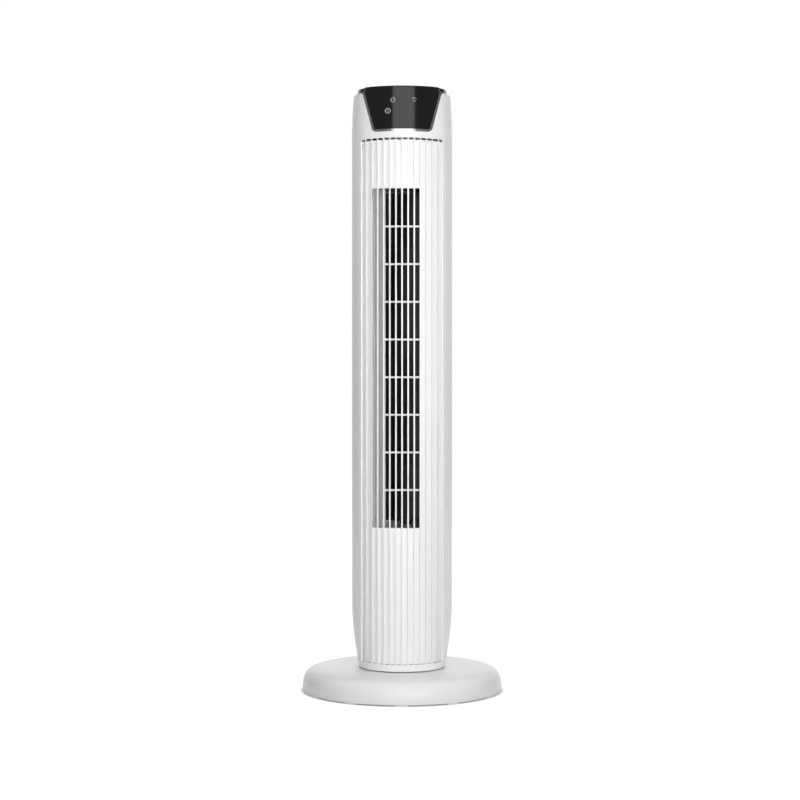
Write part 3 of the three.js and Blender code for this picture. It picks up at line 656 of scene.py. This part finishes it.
def makeBasePlate():
    f = footSet
    bm = bmesh.new()
    low, high = f["height"], f["height"] + f["plateThick"]
    inner = [(70, high), (f["plateBore"], high), (f["plateBore"], low), (70, low)]
    spinProfile(bm, inner + roundRim(f["plate"], low, high, 0.6, 3), steps=144, closed=True)
    half = math.degrees(f["width"] / 2 / f["outer"])
    for i in range(f["count"]):
        # a foot is a short turned bar whose ends are closed
        foot = bmesh.new()
        profile = [(f["inner"], f["height"] + 0.1), (f["inner"], 0)]
        profile += arc(f["outer"] - f["corner"], f["corner"], f["corner"], -90, 0, 3)
        profile += [(f["outer"], f["height"]), (f["plate"], f["height"] + 0.1)]
        middle = -90 + i * 360 / f["count"]
        spinProfile(foot, profile, steps=6, closed=True, sweep=2 * half, start=middle - half)
        bmesh.ops.holes_fill(foot, edges=[e for e in foot.edges if e.is_boundary])
        mergeInto(bm, foot)
    finishPiece("basePlate", bm, whiteShell, "base_plate", "base", 40)


makeBaseCover()
makeBasePlate()
makeInlet()
print("base made")


# column shells: front frame with its openings, rear housing with the grip

apronSet = {"low": 852, "lowHalf": 41.5, "high": 908, "highHalf": 56, "inset": 1.1, "corner": 5,
            "flare": 5, "flareLap": 0.6}


def apronPlanes(margin):
    # the apron's outline as cuts: sides, bottom and a fan across each lower corner
    a = apronSet
    slope = (a["highHalf"] - a["lowHalf"]) / (a["high"] - a["low"])
    low = a["low"] - margin
    lean = math.atan(slope)
    radius = a["corner"] + margin
    # the corner's centre lies one radius inside both the side and the bottom
    reach = radius * math.tan((math.pi / 2 - lean) / 2)
    footHalf = a["lowHalf"] + margin / math.cos(lean) - slope * margin
    centre = Vector((footHalf - reach, 0, low + radius))
    cuts = []
    turns = 9
    flip = Vector((-1, 1, 1))
    for i in range(turns + 1):
        angle = -math.pi / 2 + (math.pi / 2 - lean) * i / turns
        out = Vector((math.cos(angle), 0, math.sin(angle)))
        cuts.append((centre + out * radius, out))
        cuts.append((centre * flip + out * flip * radius, out * flip))
    return cuts


def flareReach():
    # how far from the middle the turn of each upper corner has its centre
    return apronSet["highHalf"] + shellSet["notch"] + apronSet["flare"] - apronSet["flareLap"]


def flareFan(sx, centre, radius):
    # cuts for one upper corner, where the apron's side flows out onto the shoulder
    fan = []
    for i in range(7):
        angle = math.radians(90 * i / 6)
        out = Vector((-sx * math.cos(angle), 0, math.sin(angle)))
        fan.append((centre + out * radius, out))
    return fan


def shellSkin(bm, side):
    # the outer skin of one shell: side is -1 for the front frame, 1 for the rear housing
    c = columnSet
    lip = 0.9
    rise = [(columnR(z), z) for z in columnHeights(c["foot"], c["shoulder"] - 2)]
    turn = arc(columnR(c["shoulder"]) - lip, c["shoulder"] - lip, lip, 0, 90, 4)
    spinProfile(bm, rise + turn + [(68, c["shoulder"]), (c["ledge"], c["shoulder"])], steps=144)
    seam = shellSet["seam"] + side * 0.15
    cutAt(bm, (0, seam, 0), (0, 1, 0))
    keepFaces(bm, lambda p: (p.y - seam) * side > 0)


def sinkOpening(bm, x, z, halfWide, halfHigh, corner, depths, closed, turns=6):
    # cuts a rounded opening in the rear face and draws its edge in to each depth in turn
    cuts = roundPlanes(x, z, halfWide, halfHigh, corner, turns)
    margin = 6

    def near(p):
        return p.y > 20 and abs(p.x - x) < halfWide + margin and abs(p.z - z) < halfHigh + margin

    carve(bm, cuts, lambda p: (p.y > 20 and abs(p.z - z) < halfHigh + 80
                               and abs(p.x - x) < halfWide + margin))
    dropFaces(bm, lambda p: near(p) and insideCuts(p, cuts))
    rim = [e for e in bm.edges if e.is_boundary and near((e.verts[0].co + e.verts[1].co) / 2)
           and abs(e.verts[0].co.x - x) < halfWide + 0.1 and abs(e.verts[0].co.z - z) < halfHigh + 0.1]
    for y, shrink in depths:
        grown = bmesh.ops.extrude_edge_only(bm, edges=rim)["geom"]
        rim = [g for g in grown if isinstance(g, bmesh.types.BMEdge)]
        for v in {v for e in rim for v in e.verts}:
            v.co = (x + (v.co.x - x) * shrink, y, z + (v.co.z - z) * shrink)
    if closed:
        bmesh.ops.edgeloop_fill(bm, edges=rim)


shellSet = {
    "seam": -14, "frameHalf": 62, "frameLow": 47, "frameHigh": 838.5, "notch": 4,
    "intakeHalf": 60, "intakeLow": 250, "intakeHigh": 767, "wellRadius": 3.7,
    "gripHalf": 45, "gripLow": 832, "gripHigh": 870, "gripCorner": 9,
    # how far back each turn of the opening's edge lies, and its share of the first outline
    "gripSteps": [(56, 0.985), (50, 0.96)], "wellSteps": [(60.8, 1), (60.8, 0.55), (59, 0.55)],
}


def cutWindow(bm, half, low, high, side):
    # a plain opening for an insert, in front where side is -1 and behind where it is 1
    for x in (-half, half):
        cutAt(bm, (x, 0, 0), (1, 0, 0))
    for z in (low, high):
        cutAt(bm, (0, 0, z), (0, 0, 1))
    dropFaces(bm, lambda p: abs(p.x) < half and low < p.z < high and p.y * side > 0)


def makeFrontFrame():
    s = shellSet
    bm = bmesh.new()
    shellSkin(bm, -1)
    cutWindow(bm, s["frameHalf"], s["frameLow"], s["frameHigh"], -1)
    # the notch for the apron; its upper corners flow out onto the shoulder
    cuts = apronPlanes(s["notch"])
    front = lambda p: p.y < -20 and p.z > 840 and abs(p.x) < 66
    carve(bm, cuts, front)
    dropFaces(bm, lambda p: front(p) and insideCuts(p, cuts))
    roundOff(bm)
    piece = finishPiece("frontFrame", bm, whiteShell, "front_frame", "column", 30)
    thicken(piece, columnSet["wall"])
    softenEdges(piece, 0.35, 2, 50)


def roundOff(bm):
    # rounds the shell's corners between the apron's sides and the shoulder
    radius, lap = apronSet["flare"], apronSet["flareLap"]
    reach = flareReach()
    top = columnSet["shoulder"]
    for sx in (-1, 1):
        fan = flareFan(sx, Vector((sx * reach, 0, top - radius)), radius)
        zone = lambda p: p.y < -15 and p.z > top - radius - 1 and 0 < p.x * sx < reach + lap
        carve(bm, fan, zone)
        dropFaces(bm, lambda p: zone(p) and p.x * sx < reach and top - radius < p.z < top - 0.05
                  and not insideCuts(p, fan))


def makeRearHousing():
    s = shellSet
    bm = bmesh.new()
    shellSkin(bm, 1)
    cutWindow(bm, s["intakeHalf"], s["intakeLow"], s["intakeHigh"], 1)
    gripMiddle = (s["gripLow"] + s["gripHigh"]) / 2
    gripHigh = (s["gripHigh"] - s["gripLow"]) / 2
    sinkOpening(bm, 0, gripMiddle, s["gripHalf"], gripHigh, s["gripCorner"], s["gripSteps"], True)
    for node in ("housing_screw_low_left", "housing_screw_low_right",
                 "housing_screw_high_left", "housing_screw_high_right"):
        low, high = cadMm(node)
        x, z = (low.x + high.x) / 2, (low.z + high.z) / 2
        r = s["wellRadius"]
        sinkOpening(bm, x, z, r, r, r, s["wellSteps"], False, 4)
    piece = finishPiece("rearHousing", bm, whiteShell, "rear_housing", "column", 30)
    thicken(piece, columnSet["wall"] - 0.6)
    softenEdges(piece, 0.35, 2, 50)


# ribbed front insert

ribSet = {
    "pitch": 9.15, "width": 2.4, "last": 6, "half": 62.3, "low": 46.2, "high": 839.4, "chamfer": 0.12,
    "faceInset": 0.3, "floorInset": 3.2, "backInset": 5.3, "windowLow": 253.8, "windowHigh": 763.3,
    "windowFrom": -5, "windowTo": 3, "slotTop": 835.7, "slotBottom": 47.9,
}


def channelEdges():
    # where each channel starts and ends across the front, with its number
    r = ribSet
    for i in range(-r["last"] - 1, r["last"] + 1):
        left = max(i * r["pitch"] + r["width"] / 2, -r["half"])
        right = min((i + 1) * r["pitch"] - r["width"] / 2, r["half"])
        yield i, left, right


def makeFrontInsert():
    r = ribSet
    bm = uprightSheet(r["half"], r["low"], r["high"])
    channels = list(channelEdges())
    for _, left, right in channels:
        for x in (left - r["chamfer"], left, (left + right) / 2, right, right + r["chamfer"]):
            if abs(x) < r["half"] - 0.01:
                cutAt(bm, (x, 0, 0), (1, 0, 0))
    levels = set(columnHeights(r["low"], r["high"])[1:-1])
    levels |= {r["windowLow"], r["windowHigh"], r["slotTop"], r["slotBottom"]}
    for z in sorted(levels):
        cutAt(bm, (0, 0, z), (0, 0, 1))

    def channelAt(x):
        return next((i for i, left, right in channels if left < x < right), None)

    def isOpen(p):
        i = channelAt(p.x)
        if i is None:
            return False
        if p.z > r["slotTop"] or p.z < r["slotBottom"]:
            return True
        return r["windowFrom"] <= i < r["windowTo"] and r["windowLow"] < p.z < r["windowHigh"]

    dropFaces(bm, isOpen)
    floorFaces = list(bm.faces)
    grown = bmesh.ops.extrude_face_region(bm, geom=floorFaces, use_keep_orig=True)["geom"]
    for v in vertsOf(grown):
        v.co = onColumn(v.co.x, v.co.z, r["backInset"])
    ribFaces = [f for f in floorFaces if f.is_valid and channelAt(f.calc_center_median().x) is None]
    for v in {v for f in floorFaces for v in f.verts}:
        v.co = onColumn(v.co.x, v.co.z, r["floorInset"])
    # the ribs rise from the floor, their long edges a little lower than their middle
    raised = bmesh.ops.extrude_face_region(bm, geom=ribFaces)["geom"]
    bmesh.ops.delete(bm, geom=[f for f in ribFaces if f.is_valid], context="FACES")
    for v in vertsOf(raised):
        onEdge = any(abs(v.co.x - x) < 0.02 for _, left, right in channels for x in (left, right))
        v.co = onColumn(v.co.x, v.co.z, r["faceInset"] + r["chamfer"] * onEdge)
    finishPiece("frontInsert", bm, whiteInsert, "front_grille", "column", 20)


makeFrontFrame()
makeRearHousing()
makeFrontInsert()
print("shells and ribbed front made")


# outlet guard behind the window

guardSet = {"bar": 3, "cells": 9, "edge": 0.7, "rail": 2.2}


def makeOutletGuard():
    g = guardSet
    low, high = cadMm("outlet_guard")
    bm = bmesh.new()
    pitch = (ribSet["windowHigh"] - ribSet["windowLow"]) / g["cells"]
    for x in (low.x, high.x - g["rail"]):
        roundedBlock(bm, (x, x + g["rail"]), (low.y, high.y), (low.z, high.z), g["edge"])
    for i in range(g["cells"] + 1):
        z = ribSet["windowLow"] + i * pitch
        lower, upper = z - g["bar"] / 2, z + g["bar"] / 2
        if i == 0:
            lower, upper = low.z, ribSet["windowLow"] - 0.3
        if i == g["cells"]:
            lower, upper = ribSet["windowHigh"] + 0.3, high.z
        roundedBlock(bm, (low.x + 0.5, high.x - 0.5), (low.y + 0.2, high.y - 0.2), (lower, upper),
                     g["edge"])
    finishPiece("outletGuard", bm, whiteInsert, "outlet_guard", "column", 50)


# duct walls: scroll and tongue as thin standing curves

ductSet = {
    "wall": 2.2,
    "tongue": [(-43, -53.4), (-40.2, -50.2), (-37, -46.6), (-33.6, -43.2), (-30.4, -40.6), (-27.4, -38.4),
               (-25.2, -37.6)],
    "scrollStart": 47, "scrollGrow": 13, "scrollFrom": 70, "scrollTo": -40,
    "scrollEnd": [(42, -46), (33, -58)],
}


def standingWall(name, points, node):
    low, high = cadMm(node)
    bm = bmesh.new()
    vertices = [bm.verts.new((x, y, low.z)) for x, y in points]
    edges = joinUp(bm, vertices)
    raised = bmesh.ops.extrude_edge_only(bm, edges=edges)["geom"]
    bmesh.ops.translate(bm, vec=(0, 0, high.z - low.z), verts=vertsOf(raised))
    piece = finishPiece(name, bm, whiteDuct, node, "column", 45)
    thicken(piece, ductSet["wall"], 0)
    softenEdges(piece, 0.5, 2, 60)


def makeDucts():
    d = ductSet
    fanLow, fanHigh = cadMm("impeller")
    cx, cy = (fanLow.x + fanHigh.x) / 2, (fanLow.y + fanHigh.y) / 2
    standingWall("ductTongue", d["tongue"], "duct_tongue")
    scroll = []
    for i in range(29):
        share = i / 28
        angle = math.radians(d["scrollFrom"] + (d["scrollTo"] - d["scrollFrom"]) * share)
        radius = d["scrollStart"] + d["scrollGrow"] * share
        scroll.append((cx + radius * math.cos(angle), cy + radius * math.sin(angle)))
    standingWall("ductScroll", scroll + d["scrollEnd"], "duct_scroll")


# cross-flow impeller: seven discs with curved blades between them

fanSet = {"discs": 7, "blades": 28, "disc": 1.6, "inner": 31.5, "bladeOut": 41.4, "bladeIn": 33,
          "bladeThick": 0.9, "sweep": 17, "stagger": 3.2, "bore": 4.3, "hub": 9}


def makeImpeller():
    f = fanSet
    low, high = cadMm("impeller")
    cx, cy = (low.x + high.x) / 2, (low.y + high.y) / 2
    radius = (high.x - low.x) / 2
    discLow = low.z + 8
    pitch = (high.z - f["disc"] - discLow) / (f["discs"] - 1)
    bm = bmesh.new()
    for i in range(f["discs"]):
        z = discLow + i * pitch
        inner = f["bore"] if i in (0, f["discs"] - 1) else f["inner"]
        edge = roundRim(radius, z, z + f["disc"], 0.4, 2)
        spinProfile(bm, [(inner, z)] + edge + [(inner, z + f["disc"])], steps=72, closed=True, x=cx, y=cy)
    for z0, z1 in ((low.z, discLow + 12), (high.z - 10, high.z)):
        hub = [(f["bore"], z0), (f["hub"] - 0.6, z0), (f["hub"], z0 + 0.6), (f["hub"], z1), (f["bore"], z1)]
        spinProfile(bm, hub, steps=32, closed=True, x=cx, y=cy)
    for i in range(f["discs"] - 1):
        z0, z1 = discLow + i * pitch + f["disc"] - 0.1, discLow + (i + 1) * pitch + 0.1
        strip = bmesh.new()
        # one blade: a bent line with thickness, drawn up and then repeated round the axis
        line = []
        for k in range(5):
            share = k / 4
            r = f["bladeIn"] + (f["bladeOut"] - f["bladeIn"]) * share
            angle = math.radians(f["sweep"] * (share ** 1.7) + i * f["stagger"])
            line.append(strip.verts.new((cx + r * math.cos(angle), cy + r * math.sin(angle), z0)))
        edges = joinUp(strip, line)
        up = bmesh.ops.extrude_edge_only(strip, edges=edges)["geom"]
        bmesh.ops.translate(strip, vec=(0, 0, z1 - z0), verts=vertsOf(up))
        bmesh.ops.recalc_face_normals(strip, faces=strip.faces)
        bmesh.ops.solidify(strip, geom=list(strip.faces), thickness=f["bladeThick"])
        blade = list(strip.verts) + list(strip.edges) + list(strip.faces)
        bmesh.ops.spin(strip, geom=blade, cent=(cx, cy, 0), axis=(0, 0, 1), dvec=(0, 0, 0),
                       angle=math.tau, steps=f["blades"], use_merge=False, use_duplicate=True)
        mergeInto(bm, strip)
    finishPiece("impellerRotor", bm, blackMoulded, "impeller", "impeller", 40)


# rear intake grille: fine upright bars tied by rings

intakeSet = {"bars": 31, "barWide": 1.5, "border": 4, "ties": 9, "tie": 1.8, "face": 0.3, "back": 3}


def makeRearGrille():
    g = intakeSet
    low, high = cadMm("rear_grille")
    half = high.x
    bm = uprightSheet(half, low.z, high.z)
    inner = half - g["border"]
    pitch = 2 * inner / (g["bars"] + 1)
    bars = [-inner + (i + 1) * pitch for i in range(g["bars"])]
    for x in [-inner, inner] + [b + s * g["barWide"] / 2 for b in bars for s in (-1, 1)]:
        cutAt(bm, (x, 0, 0), (1, 0, 0))
    zLow, zHigh = low.z + g["border"], high.z - g["border"]
    bay = (zHigh - zLow) / (g["ties"] + 1)
    ties = [zLow + (i + 1) * bay for i in range(g["ties"])]
    for z in [zLow, zHigh] + [t + s * g["tie"] / 2 for t in ties for s in (-1, 1)]:
        cutAt(bm, (0, 0, z), (0, 0, 1))

    def isSlot(p):
        if abs(p.x) > inner or not zLow < p.z < zHigh:
            return False
        onBar = any(abs(p.x - b) < g["barWide"] / 2 for b in bars)
        onTie = any(abs(p.z - t) < g["tie"] / 2 for t in ties)
        return not (onBar or onTie)

    dropFaces(bm, isSlot)
    for v in bm.verts:
        face = onColumn(v.co.x, v.co.z, g["face"])
        v.co = (face.x, -face.y, face.z)
    grown = bmesh.ops.extrude_face_region(bm, geom=list(bm.faces), use_keep_orig=True)["geom"]
    for v in vertsOf(grown):
        back = onColumn(v.co.x, v.co.z, g["back"])
        v.co = (back.x, -back.y, back.z)
    piece = finishPiece("rearGrille", bm, whiteInsert, "rear_grille", "column", 30)
    softenEdges(piece, 0.25, 1, 50)


# screws: pan heads with a cross recess, each in the place of its node

screwSet = {
    "housing_screw_": {"body": "column", "axis": "Y", "flip": True, "head": 2.6, "shank": 1.5},
    "post_screw_": {"body": "base", "axis": "Z", "flip": False, "head": 2.2, "shank": 1.6},
    "motor_screw_": {"body": "column", "axis": "Z", "flip": False, "head": 2.4, "shank": 2},
    "swing_screw_": {"body": "column", "axis": "Z", "flip": True, "head": 1.8, "shank": 1.4},
    "recess": 0.55, "recessReach": 0.55, "recessDepth": 0.55, "thread": 0.8,
}


def makeScrew(node, values):
    low, high = cadMm(node)
    radius = (high.x - low.x) / 2
    alongY = values["axis"] == "Y"
    length = high.y - low.y if alongY else high.z - low.z
    head, shank = values["head"], values["shank"]
    bm = bmesh.new()
    profile = [(0, 0), (radius * 0.72, 0), (radius * 0.93, 0.5), (radius, 1.1), (radius, head),
               (shank, head)]
    z = head + 0.6
    while z + screwSet["thread"] < length - 1.2:
        # rings of thread along the shank
        profile += [(shank - 0.25, z), (shank, z + screwSet["thread"] / 2)]
        z += screwSet["thread"]
    profile += [(shank - 0.25, length - 1), (0.3, length), (0, length)]
    spinProfile(bm, profile, steps=28)
    wide, reach = screwSet["recess"], radius * screwSet["recessReach"]
    for offset in (-reach, -wide, wide, reach):
        for normal in ((1, 0, 0), (0, 1, 0)):
            headFaces = [f for f in bm.faces if f.calc_center_median().z < 0.01]
            cutAt(bm, Vector(normal) * offset, normal, headFaces)

    def inCross(p):
        x, y = abs(p.x), abs(p.y)
        return p.z < 0.01 and ((x < wide and y < reach) or (y < wide and x < reach))

    cross = [f for f in bm.faces if inCross(f.calc_center_median())]
    sunk = bmesh.ops.extrude_face_region(bm, geom=cross)["geom"]
    bmesh.ops.delete(bm, geom=[f for f in cross if f.is_valid], context="FACES")
    for v in vertsOf(sunk):
        v.co = (v.co.x * 0.8, v.co.y * 0.8, head * screwSet["recessDepth"])
    middle = (low + high) / 2
    if alongY:
        # the head faces backwards
        turnAboutX(bm, 90)
        bmesh.ops.translate(bm, vec=(middle.x, high.y, middle.z), verts=bm.verts)
    elif values["flip"]:
        turnAboutX(bm, 180)
        bmesh.ops.translate(bm, vec=(middle.x, middle.y, high.z), verts=bm.verts)
    else:
        bmesh.ops.translate(bm, vec=(middle.x, middle.y, low.z), verts=bm.verts)
    name = "".join(word.capitalize() if i else word for i, word in enumerate(node.split("_")))
    finishPiece(name, bm, zincSteel, node, values["body"], 40)


def makeScrews():
    for start, values in screwSet.items():
        if isinstance(values, dict):
            for node in (n for n in frame["nodes"] if n.startswith(start)):
                makeScrew(node, values)


makeOutletGuard()
makeDucts()
makeImpeller()
makeRearGrille()
makeScrews()
print("guard, duct, impeller, rear grille and screws made")


# glossy cap: a drum that swells out to the column's face in front and runs down as an apron

capSet = {
    "radius": 68, "seat": 910.3, "crown": 920.55, "edge": 2.4, "wall": 2.4, "tilt": 3,
    "swellFrom": 61, "swellTo": 55.5, "calm": 20, "tiltFrom": 912,
}


def smoothShare(value, low, high):
    share = min(max((value - low) / (high - low), 0), 1)
    return share * share * (3 - 2 * share)


def makeCap():
    c = capSet
    a = apronSet
    bm = bmesh.new()
    faceR = columnR(a["high"]) - a["inset"]
    side = [852, 857, 863, 870, 877, 884, 890, 896, 902, 906, 908]
    rise = [(columnR(z) - a["inset"], z) for z in side] + [(faceR, c["seat"]), (faceR, 913)]
    turn = arc(faceR - c["edge"], c["crown"] - c["edge"], c["edge"], 0, 90, 6)
    crown = [(r, c["crown"]) for r in (60, 45, 30, 15)] + [(0, c["crown"])]
    spinProfile(bm, rise + turn + crown, steps=192)
    cuts = apronPlanes(0)
    below = lambda p: p.z < c["seat"] and p.y < -20
    carve(bm, cuts, lambda p: below(p) and abs(p.x) < 66)
    dropFaces(bm, lambda p: p.z < c["seat"] and not (below(p) and insideCuts(p, cuts)))
    for v in bm.verts:
        if v.co.z > c["seat"] - 0.01:
            # above the shoulder only the front keeps the column's full radius
            reach = math.hypot(v.co.x, v.co.y)
            aside = abs(v.co.x) * faceR / max(reach, 1)
            swell = smoothShare(aside, c["swellFrom"], c["swellTo"]) * (v.co.y < 0)
            limit = c["radius"] + (faceR - c["radius"]) * swell
            if reach > c["calm"]:
                scale = 1 - (1 - limit / faceR) * smoothShare(reach, c["calm"], faceR - c["edge"])
                v.co.x *= scale
                v.co.y *= scale
        share = min(max((v.co.z - c["tiltFrom"]) / (c["crown"] - c["tiltFrom"]), 0), 1)
        v.co.z += share * v.co.y * math.tan(math.radians(c["tilt"]))
    piece = finishPiece("controlCap", bm, blackGloss, "control_panel", "column", 40)
    thicken(piece, c["wall"])
    softenEdges(piece, 0.9, 3, 50)


# plated trim: a line round the apron that flows out over the shoulder and rings the cap

trimSet = {"inner": 0.35, "outer": 3.7, "inset": 0.35, "deep": 2.4, "clear": 0.3,
           "ringIn": 69, "ringOut": 72.2, "lip": 1.15, "gapHalf": 57.5}


def makeTrim():
    t = trimSet
    bm = bmesh.new()
    top = columnSet["shoulder"]
    side = [845, 848, 851, 854, 858, 864, 871, 878, 886, 893, 899, 904, 907, top]
    spinProfile(bm, [(columnR(z) - t["inset"], z) for z in side], steps=144, sweep=120, start=-150)
    inner, outer = apronPlanes(t["inner"]), apronPlanes(t["outer"])
    anywhere = lambda p: True
    carve(bm, inner, anywhere)
    carve(bm, outer, anywhere)
    reach = flareReach()
    fans = []
    for sx in (-1, 1):
        centre = Vector((sx * reach, 0, top - apronSet["flare"]))
        fan = flareFan(sx, centre, apronSet["flare"] + t["clear"])
        carve(bm, fan, lambda p: p.x * sx > 50 and p.z > top - 8)
        fans.append((sx, centre, fan))

    def onTrim(p):
        if insideCuts(p, inner):
            return False
        if insideCuts(p, outer):
            return True
        for sx, centre, fan in fans:
            if 0 < p.x * sx < reach and p.z > centre.z and not insideCuts(p, fan):
                return True
        return False

    keepFaces(bm, onTrim)
    bmesh.ops.remove_doubles(bm, verts=bm.verts, dist=0.004)
    bmesh.ops.recalc_face_normals(bm, faces=bm.faces)
    bmesh.ops.solidify(bm, geom=list(bm.faces), thickness=t["deep"])
    lower, upper = capSet["seat"], capSet["seat"] + t["lip"]
    ring = bmesh.new()
    profile = [(t["ringIn"], lower - 0.2), (t["ringOut"], lower - 0.2)]
    profile += arc(t["ringOut"] - 0.5, upper - 0.5, 0.5, 0, 90, 3) + [(t["ringIn"], upper)]
    spinProfile(ring, profile, steps=144, closed=True)
    for x in (-t["gapHalf"], t["gapHalf"]):
        cutAt(ring, (x, 0, 0), (1, 0, 0))
    dropFaces(ring, lambda p: abs(p.x) < t["gapHalf"] and p.y < -25)
    bmesh.ops.holes_fill(ring, edges=[e for e in ring.edges if e.is_boundary])
    mergeInto(bm, ring)
    finishPiece("panelTrim", bm, plated, "panel_trim", "column", 40)


# touch marks printed under the gloss: two rings, clock hands, a fan swirl and an arc on a stand

iconSet = {
    "ink": (0.42, 0.43, 0.44), "line": 0.95, "lift": 0.06, "thick": 0.05,
    "timer": (-13.7, 895, 3.7), "swing": (18.5, 895, 3.9), "speed": (-21.6, 879, 4.3),
    # one blade of the swirl, as (reach, turn) from the middle
    "blade": [(0.9, 0), (1.8, 22), (2.3, 52)],
}


def inkMaterial():
    material, tree, shader = newMaterial("printedInk", iconSet["ink"], 0.3)
    dots = noise(tree, objectPoint(tree), 0.25, 2)
    tint(tree, shader, dots, (0.38, 0.39, 0.40), (0.46, 0.47, 0.48))
    tree.links.new(spread(tree, dots, 0.31, 0.4), shader.inputs["Roughness"])
    return material


def drawStroke(bm, points, width, closed=False):
    # a line of even width drawn in X and Z
    vertices = [bm.verts.new((x, 0, z)) for x, z in points]
    edges = joinUp(bm, vertices, closed)
    count = len(points)
    sides = []
    for i in range(count):
        before = points[(i - 1) % count] if closed or i else points[0]
        after = points[(i + 1) % count] if closed or i < count - 1 else points[-1]
        along = Vector((after[0] - before[0], 0, after[1] - before[1])).normalized()
        sides.append(Vector((-along.z, 0, along.x)) * width / 2)
    grown = bmesh.ops.extrude_edge_only(bm, edges=edges)["geom"]
    far = vertsOf(grown)
    for v, w in ((v, min(far, key=lambda g: (g.co - v.co).length)) for v in vertices):
        shift = sides[vertices.index(v)]
        v.co += shift
        w.co -= shift


def circlePoints(x, z, radius, start=0, end=360, steps=40):
    return arc(x, z, radius, start, end, steps)[:steps if end - start == 360 else None]


def makeIcons():
    s = iconSet
    bm = bmesh.new()
    x, z, r = s["timer"]
    drawStroke(bm, circlePoints(x, z, r - 0.5), s["line"], True)
    drawStroke(bm, [(x, z + 1.6), (x, z), (x + 1.3, z - 0.4)], 0.55)
    x, z, r = s["speed"]
    drawStroke(bm, circlePoints(x, z, r - 0.5), s["line"], True)
    for start in (30, 150, 270):
        turns = [(reach, math.radians(start + turn)) for reach, turn in s["blade"]]
        drawStroke(bm, [(x + reach * math.cos(t), z + reach * math.sin(t)) for reach, t in turns], 0.8)
    x, z, r = s["swing"]
    drawStroke(bm, circlePoints(x, z, r - 0.5, 20, 160, 16), s["line"])
    drawStroke(bm, [(x - 2.4, z - 1.6), (x + 2.4, z - 1.6)], 0.75)
    drawStroke(bm, [(x, z - 1.6), (x, z + 0.8)], 0.6)
    bmesh.ops.recalc_face_normals(bm, faces=bm.faces)
    bmesh.ops.solidify(bm, geom=list(bm.faces), thickness=s["thick"])
    for v in bm.verts:
        face = onColumn(v.co.x, v.co.z, apronSet["inset"] - s["lift"] + 0.4 * v.co.y)
        v.co.y = face.y
    bmesh.ops.scale(bm, vec=(mm, mm, mm), verts=bm.verts)
    bmesh.ops.recalc_face_normals(bm, faces=bm.faces)
    mesh = bpy.data.meshes.new("touchMarks")
    bm.to_mesh(mesh)
    bm.free()
    piece = bpy.data.objects.new("touchMarks", mesh)
    bpy.context.scene.collection.objects.link(piece)
    mesh.materials.append(inkMaterial())
    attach(piece, "column")


makeCap()
makeTrim()
makeIcons()
print("cap, trim and touch marks made")
